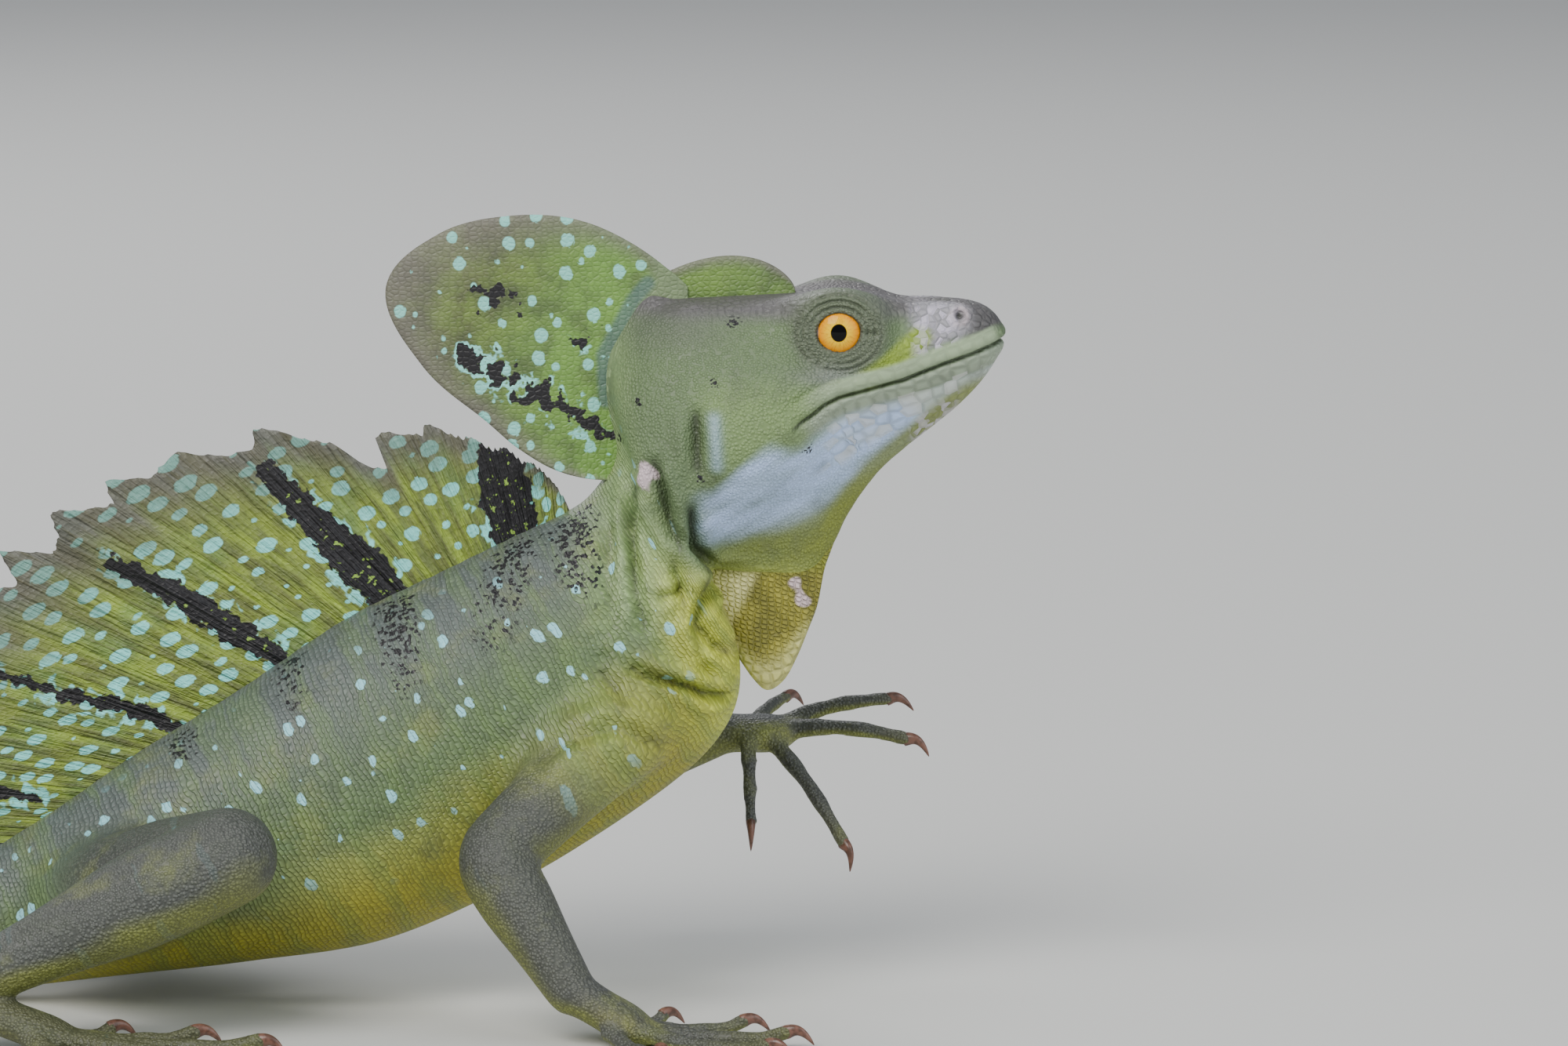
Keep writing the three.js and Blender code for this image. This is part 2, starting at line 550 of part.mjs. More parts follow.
function buildLeg(leg) {
  const place = ([x, y, z]) => new THREE.Vector3(x, leg.side * y, z);
  const [root, hinge, end] = [place(leg.root), place(leg.hinge), place(leg.end)];
  const upper = limb(root, hinge, leg.upper);
  const upperGrown = limb(root, hinge, leg.upper, 10, 1, GAP);
  const lower = limb(hinge, end, leg.lower, 10);
  const lowerGrown = limb(hinge, end, leg.lower, 10, 1, GAP);
  const { length, radius, spread } = leg.palm;
  const toward = (turn) => {
    const angle = THREE.MathUtils.degToRad(leg.heading + turn);
    return new THREE.Vector3(Math.cos(angle), leg.side * Math.sin(angle), 0);
  };
  const ball = end.clone().addScaledVector(toward(0), length);
  if (!leg.raised) ball.setZ(3.2);
  let foot = limb(end, ball, [radius, (radius + spread) / 2 + 0.3, spread + 0.9], 8, PALM_FLATNESS);
  const paths = leg.digits.map((digit, k) => {
    const across = toward(90).multiplyScalar(((k - 2) * spread) / 2.4);
    const back = k === 4 || k === 0 ? -3 : 0;
    const base = ball.clone().add(across).addScaledVector(toward(0), back);
    if (leg.raised) return digitPath(base, place(digit.tip), digit.radius, true);
    const tip = base.clone().addScaledVector(toward(digit.turn), digit.length);
    return digitPath(base.setZ(2.6), tip, digit.radius, false);
  });
  for (const path of paths) foot = foot.add(digitSolid(path));
  const claws = paths.map((path) => largest(clawSolid(path).subtract(digitSolid(path, GAP)).subtract(underFloor)));
  return {
    upper: largest(upper.subtract(bodyGrown)),
    lower: largest(lower.subtract(upperGrown).subtract(bodyGrown)),
    foot: largest(foot.subtract(lowerGrown).subtract(underFloor)),
    claws,
  };
}

const basilisk = new THREE.Group();

function show(name, solid, material) {
  const made = solid.getMesh();
  const geometry = new THREE.BufferGeometry();
  geometry.setAttribute("position", new THREE.BufferAttribute(new Float32Array(made.vertProperties), 3));
  geometry.setIndex(new THREE.BufferAttribute(new Uint32Array(made.triVerts), 1));
  geometry.computeVertexNormals();
  const mesh = new THREE.Mesh(geometry, material);
  mesh.name = name;
  basilisk.add(mesh);
  return mesh;
}

const head = headSolid();
show("head", head, headGreen);
for (const [name, side] of [["eye_right", 1], ["eye_left", -1]]) {
  const eye = show(name, toSolid(new THREE.SphereGeometry(EYE_RADIUS, 14, 10)), eyeYellow);
  eye.position.copy(mirrored(EYE, side));
}

const CUT = 0.02; // half of a thin cut across the body, in ribs
show("neck", bodyPart(CUT, NECK_TO_TORSO - CUT, 7, 20), throatYellow);
show("torso", bodyPart(NECK_TO_TORSO + CUT, TORSO_TO_TAIL - CUT, 16, 20), flankGreen);
const tailCuts = [TORSO_TO_TAIL, 14, 19, 25, BODY_END];
for (let k = 0; k + 1 < tailCuts.length; k++) {
  const [from, to] = [tailCuts[k] + CUT / 2, tailCuts[k + 1] - CUT / 2];
  const piece = bodyPart(from, to, Math.round(2 * (to - from)), k < 2 ? 14 : 8);
  show(`tail_${k + 1}`, largest(piece.subtract(underFloor)), tailGreen);
}

const rearCrestGrown = fin(12, 4, rearCrestPast, () => CREST_HALF.root + GAP);
const crests = {
  head_crest_rear: fin(18, 6, rearCrestMiddle, (u, v) => THREE.MathUtils.lerp(CREST_HALF.root, CREST_HALF.rim, v)),
  head_crest_front: fin(14, 3, frontCrestMiddle, (u, v) => THREE.MathUtils.lerp(1.1, 0.35, v)),
  dewlap: fin(12, 6, dewlapMiddle, (u, v) => THREE.MathUtils.lerp(2.4, 0.9, v)),
  dorsal_sail: fin(SAIL.rays * RAY_COLUMNS, 2, sailMiddle, rayed(SAIL.rays, 0.9, 0.32, 0.4)),
};
for (const [name, raw] of Object.entries(crests)) {
  let trimmed = raw.subtract(headGrown).subtract(neckGrown).subtract(bodyGrown);
  if (name === "head_crest_front" || name === "dorsal_sail") trimmed = trimmed.subtract(rearCrestGrown);
  show(name, largest(trimmed), name === "dewlap" ? throatYellow : crestGreen);
}
const crestSplit = 14;
show("tail_crest_1", tailCrest(TAIL_CREST.from, crestSplit - CUT / 2), crestGreen);
show("tail_crest_2", tailCrest(crestSplit + CUT / 2, TAIL_CREST.to), crestGreen);

for (const [name, leg] of Object.entries(legs)) {
  const { upper, lower, foot, claws } = buildLeg(leg);
  const fore = name.endsWith("fore");
  show(`${name}_${fore ? "upper_arm" : "thigh"}`, upper, legGrey);
  show(`${name}_${fore ? "forearm" : "shank"}`, lower, legGrey);
  show(`${name}_${fore ? "hand" : "foot"}`, foot, legGrey);
  claws.forEach((claw, k) => show(`${name}_claw_${k + 1}`, claw, hornBrown));
}

// The origin goes to the middle of the underside of the whole.
const bounds = new THREE.Box3().setFromObject(basilisk, true);
basilisk.position.set(-(bounds.min.x + bounds.max.x) / 2, -(bounds.min.y + bounds.max.y) / 2, -bounds.min.z);

export default basilisk;
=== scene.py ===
import math

import bmesh
import bpy
import numpy as np
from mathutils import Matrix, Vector


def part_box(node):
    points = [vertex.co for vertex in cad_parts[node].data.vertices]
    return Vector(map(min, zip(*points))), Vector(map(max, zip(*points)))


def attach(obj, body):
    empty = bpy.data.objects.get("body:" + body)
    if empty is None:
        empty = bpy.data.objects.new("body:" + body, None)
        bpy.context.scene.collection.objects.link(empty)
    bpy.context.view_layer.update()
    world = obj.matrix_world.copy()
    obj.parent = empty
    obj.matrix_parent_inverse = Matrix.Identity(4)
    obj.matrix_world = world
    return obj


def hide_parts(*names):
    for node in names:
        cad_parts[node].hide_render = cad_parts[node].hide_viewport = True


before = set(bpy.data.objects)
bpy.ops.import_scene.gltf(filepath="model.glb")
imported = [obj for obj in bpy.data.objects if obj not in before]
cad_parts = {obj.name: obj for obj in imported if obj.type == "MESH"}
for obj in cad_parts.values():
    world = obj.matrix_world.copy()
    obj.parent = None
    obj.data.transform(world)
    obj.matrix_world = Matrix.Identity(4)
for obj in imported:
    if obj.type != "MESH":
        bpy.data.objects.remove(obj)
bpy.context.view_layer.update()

# Sizes are millimetres in the animal's own frame until a mesh is made:
# +X is ahead, +Y is its left, and the floor is at z = 0.
eyeCentre = np.array([34.3, -8.0, 111.3])
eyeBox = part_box("eye_right")
frameShift = (np.array(eyeBox[0]) + np.array(eyeBox[1])) / 2 - eyeCentre / 1000


def smooth(x, low, high):
    # 0 below low, 1 above high, and 3t^2 - 2t^3 between
    t = np.clip((x - low) / (high - low), 0, 1)
    return t * t * (3 - 2 * t)


def window(x, rise, top, fall, bottom):
    # from 0 up to 1 between rise and top, and back to 0 between fall and bottom
    return smooth(x, rise, top) * (1 - smooth(x, fall, bottom))


def hill(x, width):
    # exp(-(x / width)^2)
    return np.exp(-((x / width) ** 2))


def through(values, t):
    # the smooth curve through a list of numbers, read at t, where whole numbers are the entries
    v, t = np.asarray(values, float), np.asarray(t, float)
    i = np.clip(np.floor(t).astype(int), 0, len(v) - 2)
    f = t - i
    b, c = v[i], v[i + 1]
    a = np.where(i > 0, v[np.maximum(i - 1, 0)], 2 * b - c)
    d = np.where(i + 2 < len(v), v[np.minimum(i + 2, len(v) - 1)], 2 * c - b)
    return b + 0.5 * f * (c - a + f * (2 * a - 5 * b + 4 * c - d + f * (3 * (b - c) + d - a)))


def unit(v):
    # each vector divided by its length
    return v / np.maximum(np.linalg.norm(v, axis=-1, keepdims=True), 1e-9)


def waves(p, period, seed):
    # a smooth random field from -1 to 1: the mean of six sines that run in random directions
    rng = np.random.default_rng(seed)
    ways = unit(rng.normal(size=(6, 3))) * rng.uniform(0.7, 1.4, (6, 1)) * 2 * math.pi / period
    return np.sin(p @ ways.T + rng.uniform(0, 6.28, 6)).mean(1) * 1.6


def lengthAlong(line):
    # how far every point of a line is from the line's start, measured along it
    steps = np.diff(np.asarray(line, float), axis=0)
    return np.concatenate([[0], np.cumsum(np.linalg.norm(steps, axis=1))])


def throughPoints(shape, line, t):
    # the smooth curve, in the middle plane, through the points that two of a shape's lists give in X and Z
    return np.stack([through(shape[line + "X"], t), 0 * t, through(shape[line + "Z"], t)], -1)


def addToScene(name, data):
    obj = bpy.data.objects.new(name, data)
    bpy.context.scene.collection.objects.link(obj)
    return obj


def smoothFaces(mesh):
    mesh.polygons.foreach_set("use_smooth", np.ones(len(mesh.polygons), bool))


def faceOutwards(obj):
    edit = bmesh.new()
    edit.from_mesh(obj.data)
    bmesh.ops.recalc_face_normals(edit, faces=edit.faces)
    edit.to_mesh(obj.data)
    edit.free()
    return obj


def makeObject(name, points, faces, uv=None):
    # points in millimetres, faces as lists of point numbers; uv has one row per point
    mesh = bpy.data.meshes.new(name)
    mesh.from_pydata((np.asarray(points) / 1000 + frameShift).tolist(), [], [list(f) for f in faces])
    mesh.validate()
    smoothFaces(mesh)
    if uv is not None:
        corner = np.zeros(len(mesh.loops), np.int32)
        mesh.loops.foreach_get("vertex_index", corner)
        layer = mesh.uv_layers.new(name="surface")
        layer.data.foreach_set("uv", np.asarray(uv, np.float32)[corner].ravel())
    return faceOutwards(addToScene(name, mesh))


def readVectors(mesh, key):
    flat = np.zeros(len(mesh.vertices) * 3, np.float32)
    mesh.vertices.foreach_get(key, flat)
    return flat.reshape(-1, 3).astype(float)


def readPoints(mesh):
    return (readVectors(mesh, "co") - frameShift) * 1000


def writePoints(mesh, points):
    mesh.vertices.foreach_set("co", (points / 1000 + frameShift).astype(np.float32).ravel())
    mesh.update()


def edgeEnds(mesh):
    ends = np.zeros(len(mesh.edges) * 2, np.int32)
    mesh.edges.foreach_get("vertices", ends)
    return ends.reshape(-1, 2)


def setAttribute(mesh, name, values, kind="FLOAT"):
    # one value, vector or colour for each point of the mesh, which a material reads by its name
    key = {"FLOAT": "value", "FLOAT_VECTOR": "vector", "FLOAT_COLOR": "color"}[kind]
    layer = mesh.attributes.new(name, kind, "POINT")
    layer.data.foreach_set(key, np.asarray(values, np.float32).ravel())


def gridFaces(rows, columns, roundColumns=False):
    # quads between neighbouring points of a grid stored row by row
    r = np.arange(rows - 1)[:, None]
    c = np.arange(columns if roundColumns else columns - 1)[None, :]
    n = (c + 1) % columns
    quads = np.stack([r * columns + c, r * columns + n, (r + 1) * columns + n, (r + 1) * columns + c], -1)
    return quads.reshape(-1, 4)


def tube(rings):
    # rings of points joined into a closed body, with a fan over each end
    count, sides = rings.shape[:2]
    points = np.vstack([rings.reshape(-1, 3), rings[0].mean(0), rings[-1].mean(0)])
    faces = gridFaces(count, sides, True).tolist()
    last = (count - 1) * sides
    for k in range(sides):
        n = (k + 1) % sides
        faces += [[count * sides, n, k], [count * sides + 1, last + k, last + n]]
    return points, faces


def joinBodies(name, bodies):
    # one object of several closed bodies
    points, faces, start = [], [], 0
    for p, f in bodies:
        points.append(p)
        faces += [[k + start for k in face] for face in f]
        start += len(p)
    return makeObject(name, np.vstack(points), faces)


def applyModifier(obj, kind, **settings):
    # gives the object the mesh that the modifier makes of it
    modifier = obj.modifiers.new("step", kind)
    for key, value in settings.items():
        setattr(modifier, key, value)
    graph = bpy.context.evaluated_depsgraph_get()
    mesh = bpy.data.meshes.new_from_object(obj.evaluated_get(graph))
    obj.modifiers.clear()
    old = obj.data
    obj.data = mesh
    bpy.data.meshes.remove(old)


# The trunk: ribs from the nape to the pelvis, each from its dorsal to its ventral point.
trunk = {
    "dorsalX": [-1.3, -1.9, -4.5, -8.3, -17.9, -30.6, -45.9, -63.8, -80.3, -94.4, -109.7],
    "dorsalZ": [96.3, 89.9, 85.4, 81.5, 77, 70.8, 63.2, 51.2, 40.9, 31.3, 22.8],
    "ventralX": [12.8, 17.2, 18.5, 15.9, 8.9, -5.5, -20.4, -40.2, -61.3, -79, -102],
    "ventralZ": [71.8, 61.5, 52.5, 44.8, 37.1, 27, 18.4, 10, 6.6, 4.4, 1.6],
    "halfWidth": [12.6, 12, 12.4, 14, 15.6, 17, 18, 18.4, 16.8, 13.6, 9.6],
    "pear": 0.14,  # how much fuller the flank is below its middle
}
tail = {
    "length": 470, "ribs": 24, "swing": 0.5, "turns": 1.05, "sink": 0.25, "rootHalf": 10.2, "tipHalf": 0.9,
}


def bodyRibs():
    # centre, up and side of every rib; the tail steps along a heading that swings as a sine, and thins as
    # (1 - s)^1.15 along its length s
    dorsal = np.stack([trunk["dorsalX"], np.zeros(11), trunk["dorsalZ"]], 1)
    ventral = np.stack([trunk["ventralX"], np.zeros(11), trunk["ventralZ"]], 1)
    centre, up = list((dorsal + ventral) / 2), list((dorsal - ventral) / 2)
    side = [np.array([0, width, 0]) for width in trunk["halfWidth"]]
    at = centre[-1].copy()
    for k in range(1, tail["ribs"] + 1):
        s = k / tail["ribs"]
        heading = math.pi - tail["swing"] * math.sin(2 * math.pi * tail["turns"] * s**0.9)
        at = at + tail["length"] / tail["ribs"] * np.array([math.cos(heading), math.sin(heading), 0])
        half = tail["rootHalf"] * (1 - s) ** 1.15 + tail["tipHalf"]
        centre.append(np.array([at[0], at[1], half - tail["sink"]]))
        up.append(np.array([0, 0, half]))
        side.append(np.array([math.sin(heading), -math.cos(heading), 0]) * half * (0.86 + 0.12 * s))
    return np.array(centre), np.array(up), np.array(side)


ribCentre, ribUp, ribSide = bodyRibs()
bodyEnd = len(ribCentre) - 1


def ribAt(t):
    # centre, up and side between the ribs, where whole numbers are the ribs themselves
    return [np.stack([through(v[:, k], t) for k in range(3)], -1) for v in (ribCentre, ribUp, ribSide)]


def bodyRings(t, angles):
    # centre + up cos(a) + side sin(a) (1 - pear cos(a))
    centre, up, side = ribAt(t)
    pear = trunk["pear"] * smooth(10 - t, 0, 6)[:, None]
    c, s = np.cos(angles)[None, :], np.sin(angles)[None, :]
    across = s * (1 - pear * c)
    return centre[:, None] + up[:, None] * c[..., None] + side[:, None] * across[..., None]


spineSteps, ribSearch = 700, 7  # the ribs that points are measured from, and every how many are tried first
spineT = np.linspace(0, bodyEnd, spineSteps)
spineCentre, spineUp, spineSide = ribAt(spineT)
spineNormal = unit(np.cross(spineUp, spineSide))
spineLength = lengthAlong(spineCentre)


def bodyPlace(points):
    # for each point the rib whose plane holds it: the rib's number, the length along the body, the angle
    # round it from the back line, how far out it is as a share of the rib's half size, and that half size
    def nearestRib(tries, pull):
        # the least squared distance from a rib's plane, plus a small share of that from its centre
        best, index = np.full(len(points), 1e9), np.zeros(len(points), int)
        for k in tries:
            away = points - spineCentre[k]
            cost = (away * spineNormal[k]).sum(1) ** 2 + pull * (away**2).sum(1)
            better = cost < best
            best[better], index[better] = cost[better], np.broadcast_to(k, len(points))[better]
        return index

    def offPlane(k):
        return ((points - spineCentre[k]) * spineNormal[k]).sum(1)

    last = spineSteps - 1
    index = nearestRib(range(0, spineSteps, ribSearch), 0.05)
    near = [np.clip(index + step, 0, last) for step in range(-ribSearch, ribSearch + 1)]
    index = nearestRib(near, 0.002)
    after, before = np.minimum(index + 1, last), np.maximum(index - 1, 0)
    slope = offPlane(after) - offPlane(before)
    share = np.clip(-offPlane(index) / np.where(np.abs(slope) > 0.05, slope, 1.0), -1.5, 1.5)
    length = spineLength[index] + share * (spineLength[after] - spineLength[before])
    away, up, side = points - spineCentre[index], spineUp[index], spineSide[index]
    high = (away * up).sum(1) / (up**2).sum(1)
    out = (away * side).sum(1) / (side**2).sum(1)
    size = (np.linalg.norm(up, axis=1) + np.linalg.norm(side, axis=1)) / 2
    return spineT[index], length, np.arctan2(out, high), np.hypot(out, high), size


# The head: stations from the nape to the snout, each from its crown to the throat or chin.
head = {
    "crownX": [-1.5, -2.8, 0, 6.4, 15.3, 24.2, 33.2, 39.5, 44.6, 49.7, 54.2, 57.6, 60, 61.2],
    "crownZ": [95.2, 103, 110.4, 115, 115.8, 116.2, 116.6, 116.2, 115.2, 115.6, 115.4, 114.6, 112.8, 110.6],
    "throatX": [12.8, 17.2, 23.6, 29.3, 33.4, 36.3, 40.5, 45.3, 49.7, 54.2, 57.6, 59.7, 60.8, 61.3],
    "throatZ": [71.8, 70.2, 69.3, 69.6, 74.4, 80.2, 86.3, 90.9, 94.4, 98.2, 101.8, 104.8, 107, 108.8],
    "throat": [10, 8.6, 6.6, 5.4, 4.6, 4.2, 4.4, 4.8, 5, 4.8, 4.2, 3.2, 2, 0.9],
    "jaw": [13.2, 14.4, 15.4, 15.6, 15, 13.4, 11.8, 10.4, 9, 7.6, 6.3, 4.9, 3.2, 1.4],
    "cheek": [12.4, 12.8, 13.4, 13.4, 12.8, 11.6, 10.6, 9.4, 8.2, 7, 5.8, 4.6, 3, 1.3],
    "crown": [7.6, 6.4, 6.6, 7.2, 7.6, 8.2, 8.6, 7.2, 6.2, 5.3, 4.3, 3.2, 2, 0.8],
}


def headRings(count, perSide):
    # each ring follows its heights and half widths from the throat line up to the crown line and back
    t = np.linspace(0, len(head["crownX"]) - 1, count)[:, None]
    q = 1 + 5 * np.linspace(0, 1, perSide + 1)[None, :]
    crown, throat = throughPoints(head, "crown", t), throughPoints(head, "throat", t)
    w = [np.maximum(0.4, through(head[key], t)) for key in ("throat", "jaw", "cheek", "crown")]
    heights = through([0.2, 0, 0.2, 0.5, 0.78, 0.95, 1, 0.95], q) + 0 * t
    widths = np.zeros_like(heights)
    for row in range(count):
        a, b, c, d = [v[row, 0] for v in w]
        widths[row] = through([-a, 0, a, b, c, d, 0, -d], q[0])
    widths[:, 0] = widths[:, -1] = 0
    middle = throat + (crown - throat) * heights[..., None]
    right, left = middle.copy(), middle[:, -2:0:-1].copy()
    right[..., 1] = -widths
    left[..., 1] = widths[:, -2:0:-1]
    return np.concatenate([right, left], 1)


# Each leg: its joints on its own side (y outwards), the radii from joint to joint, and its digits. A digit is
# its reach, turn and radius; on the raised hand its tip stands for the reach, and the turn isn't used.
foreLeg = {
    "upper": [9, 7.6, 6.6, 6.2], "lower": [6.2, 6.1, 4.9, 4.1], "radius": 4, "spread": 4.6, "raised": False,
}
hindLeg = {
    "upper": [8.6, 10.4, 9.4, 7.8], "lower": [7.6, 8, 5.6, 4.1], "radius": 3.9, "spread": 4.2,
    "palm": 17, "raised": False,
}
legs = {
    "right_fore": {
        **foreLeg, "side": -1, "root": [-1, 13, 47], "hinge": [-21.5, 29.5, 28.5], "end": [-8.5, 37, 8.6],
        "palm": 9, "heading": 3,
        "digits": [(11, -42, 1.5), (19, -14, 1.55), (26, 6, 1.6), (26, 25, 1.55), (16, 54, 1.45)],
    },
    "left_fore": {
        **foreLeg, "side": 1, "root": [1, 13, 47], "hinge": [-8, 36, 31], "end": [14, 34, 38.5],
        "palm": 8.5, "heading": 0, "raised": True,
        "digits": [((20, 21, 25.5), 0, 1.45), ((35.5, 18, 22.5), 0, 1.55), ((46, 28, 38.5), 0, 1.6),
                   ((43, 36, 44), 0, 1.55), ((26, 45, 43), 0, 1.45)],
    },
    "right_hind": {
        **hindLeg, "side": -1, "root": [-93, 5.5, 14.5], "hinge": [-61.5, 38.5, 31], "end": [-108, 45, 9.4],
        "heading": 2,
        "digits": [(13, -22, 1.6), (23, -7, 1.7), (34, 6, 1.8), (45, 20, 1.85), (24, 46, 1.6)],
    },
    "left_hind": {
        **hindLeg, "side": 1, "root": [-93, 5.5, 14.5], "hinge": [-68, 41, 29], "end": [-115, 44, 9.4],
        "heading": 8,
        "digits": [(13, -24, 1.6), (23, -8, 1.7), (34, 5, 1.8), (45, 19, 1.85), (24, 48, 1.6)],
    },
}
digitShape = {"lift": 1.5, "sink": 0.25, "base": 2.6, "ballHeight": 3.2, "steps": 40, "sides": 20}


def roundPath(points, radii, spacing, blur):
    # a polyline resampled evenly and averaged along its length with hill weights, ends kept
    points, radii = np.asarray(points, float), np.asarray(radii, float)
    reach = lengthAlong(points)
    s = np.linspace(0, reach[-1], max(8, int(reach[-1] / spacing)))
    fine = np.stack([np.interp(s, reach, points[:, k]) for k in range(3)] + [np.interp(s, reach, radii)], 1)
    weight = hill(s[:, None] - s[None, :], blur)
    mirrored = hill(s[:, None] + s[None, :], blur) + hill(2 * reach[-1] - s[:, None] - s[None, :], blur)
    weight = weight + mirrored
    blurred = weight @ fine / weight.sum(1)[:, None]
    keep = smooth(np.minimum(s, reach[-1] - s), 0, 2 * blur)[:, None]
    return blurred * keep + fine * (1 - keep)


def ringsAlong(path, radius, sides, flat=1.0):
    # round sections square to a path; flat squeezes them against the horizontal
    ahead = unit(np.gradient(path, axis=0))
    across = unit(np.cross([0.0, 0.0, 1.0], ahead))
    upright = np.cross(ahead, across)
    a = np.linspace(0, 2 * math.pi, sides, endpoint=False)
    c, s = np.cos(a)[None, :, None], np.sin(a)[None, :, None]
    r, f = np.reshape(radius, (-1, 1, 1)), np.reshape(flat, (-1, 1, 1))
    return path[:, None] + across[:, None] * c * r + upright[:, None] * s * r * f


def domeEnd(path, radius):
    # adds rings that close the far end as a half ball
    turn = np.array([0.5, 0.9, 1.25, 1.48])
    extra = path[-1] + unit(path[-1] - path[-2]) * radius[-1] * np.sin(turn)[:, None]
    return np.vstack([path, extra]), np.concatenate([radius, radius[-1] * np.cos(turn)])


def domeBoth(path, radius):
    line, size = domeEnd(path, radius)
    line, size = domeEnd(line[::-1], size[::-1])
    return line[::-1], size[::-1]


def digitPath(base, tip, radius, raised):
    # on the floor a digit comes down, lies flat and lifts its tip; raised, it runs in a low arch
    s = np.linspace(0, 1, digitShape["steps"])
    reach = tip - base
    path = base + reach * s[:, None]
    if raised:
        path[:, 2] += 0.06 * np.linalg.norm(reach) * np.sin(math.pi * s)
    else:
        path[:, 2] = base[2] + (radius - digitShape["sink"] - base[2]) * smooth(s, 0, 0.45)
        path[:, 2] += digitShape["lift"] * np.maximum(0, (s - 0.72) / 0.28) ** 2
    thick = radius * (1.12 - 0.3 * s) * (1 + 0.07 * np.cos(6 * math.pi * s))
    return path, thick


def legParts(leg):
    # joints in place, the ball of the foot, and every digit's path
    side = np.array([1, leg["side"], 1])
    root, hinge, end = [np.array(leg[key], float) * side for key in ("root", "hinge", "end")]
    heading = math.radians(leg["heading"])

    def toward(turn):
        a = heading + math.radians(turn)
        return np.array([math.cos(a), leg["side"] * math.sin(a), 0])

    ball = end + toward(0) * leg["palm"]
    if not leg["raised"]:
        ball[2] = digitShape["ballHeight"]
    digits = []
    for k, (reach, turn, radius) in enumerate(leg["digits"]):
        base = ball + toward(90) * (k - 2) * leg["spread"] / 2.4
        if k in (0, 4):
            base = base - toward(0) * 3
        if leg["raised"]:
            tip = np.array(reach, float) * side
        else:
            tip = base + toward(turn) * reach
            base[2] = digitShape["base"]
        digits.append(digitPath(base, tip, radius, leg["raised"]))
    return root, hinge, end, ball, digits


def legBodies(leg):
    # a round limb from shoulder or hip to wrist or ankle, a palm that widens and flattens, and five digits
    root, hinge, end, ball, digits = legParts(leg)
    bends = np.vstack([np.linspace(root, hinge, 4), np.linspace(hinge, end, 4)[1:]])
    path = roundPath(bends, leg["upper"] + leg["lower"][1:], 0.8, 3.0)
    bodies = [tube(ringsAlong(*domeBoth(path[:, :3], path[:, 3]), 40))]
    narrow, wide = leg["radius"], leg["spread"] + 0.9
    palm = roundPath([end, (end + ball) / 2, ball], [narrow, (narrow + wide) / 2, wide], 0.6, 1.5)
    line, size = domeBoth(palm[:, :3], palm[:, 3])
    flat = np.interp(np.arange(len(line)), [0, len(line) * 0.5, len(line)], [0.95, 0.66, 0.56])
    bodies.append(tube(ringsAlong(line, size, 36, flat)))
    for way, thick in digits:
        bodies.append(tube(ringsAlong(*domeEnd(way, thick), digitShape["sides"])))
    return bodies, {"path": path, "palm": [end, ball], "digits": digits, "side": leg["side"]}


print("building the body's shape")
skinSettings = {"voxel": 0.5, "plainTriangles": 124000, "jointBlend": 4.5, "jointRounds": 60, "headBlend": 8}
nape = {  # the wedge of flesh behind the skull that thins out into the rear crest
    "edgeX": [3.6, 1.2, -1.7, -3.7, -4.0, -2.4, 0.5], "edgeZ": [117.2, 114.8, 109.8, 106.4, 99, 92.5, 87.5],
    "innerX": [13, 12, 10, 8, 6, 5, 5], "innerZ": [113, 110.5, 107.5, 104, 99.5, 94, 90],
    "edgeHalf": 1.15, "innerHalf": 7.0, "lean": 0.35, "steps": 24,
}


def napeBody():
    # rings round a flat lens between two lines; its half thickness grows from the edge inwards as d^1.35
    u = np.linspace(0, 6, 60)
    edge, inner = throughPoints(nape, "edge", u), throughPoints(nape, "inner", u)
    edge[:, 1] -= nape["lean"]
    steps = nape["steps"]
    v = np.concatenate([np.linspace(0, 1, steps), np.linspace(1, 0, steps)])[None]
    side = np.repeat([-1.0, 1.0], steps)[None]
    half = nape["edgeHalf"] + (nape["innerHalf"] - nape["edgeHalf"]) * v**1.35
    half = half * (smooth(u, -0.4, 0.6) * smooth(6 - u, -0.4, 0.6))[:, None]
    rings = edge[:, None] + (inner - edge)[:, None] * v[..., None]
    rings[..., 1] += side * half
    return tube(rings)


around = np.linspace(0, 2 * math.pi, 72, endpoint=False)
ribSteps = np.concatenate([np.linspace(-0.6, 10, 160), np.linspace(10, bodyEnd, 340)[1:]])
bodies = [tube(bodyRings(ribSteps, around)), tube(headRings(90, 30)), napeBody()]
limbLines = []
for leg in legs.values():
    made, lines = legBodies(leg)
    bodies += made
    limbLines.append(lines)

skin = joinBodies("skin", bodies)
applyModifier(skin, "REMESH", mode="VOXEL", voxel_size=skinSettings["voxel"] / 1000, adaptivity=0.0)
print("skin remeshed:", len(skin.data.vertices), "points")


def nearestOnLine(points, line):
    # distance to a line given by close points, and the number of the nearest of them
    best, index = np.full(len(points), 1e9), np.zeros(len(points), int)
    for k in range(len(line)):
        d = ((points - line[k]) ** 2).sum(1)
        better = d < best
        best[better], index[better] = d[better], k
    return np.sqrt(best), index


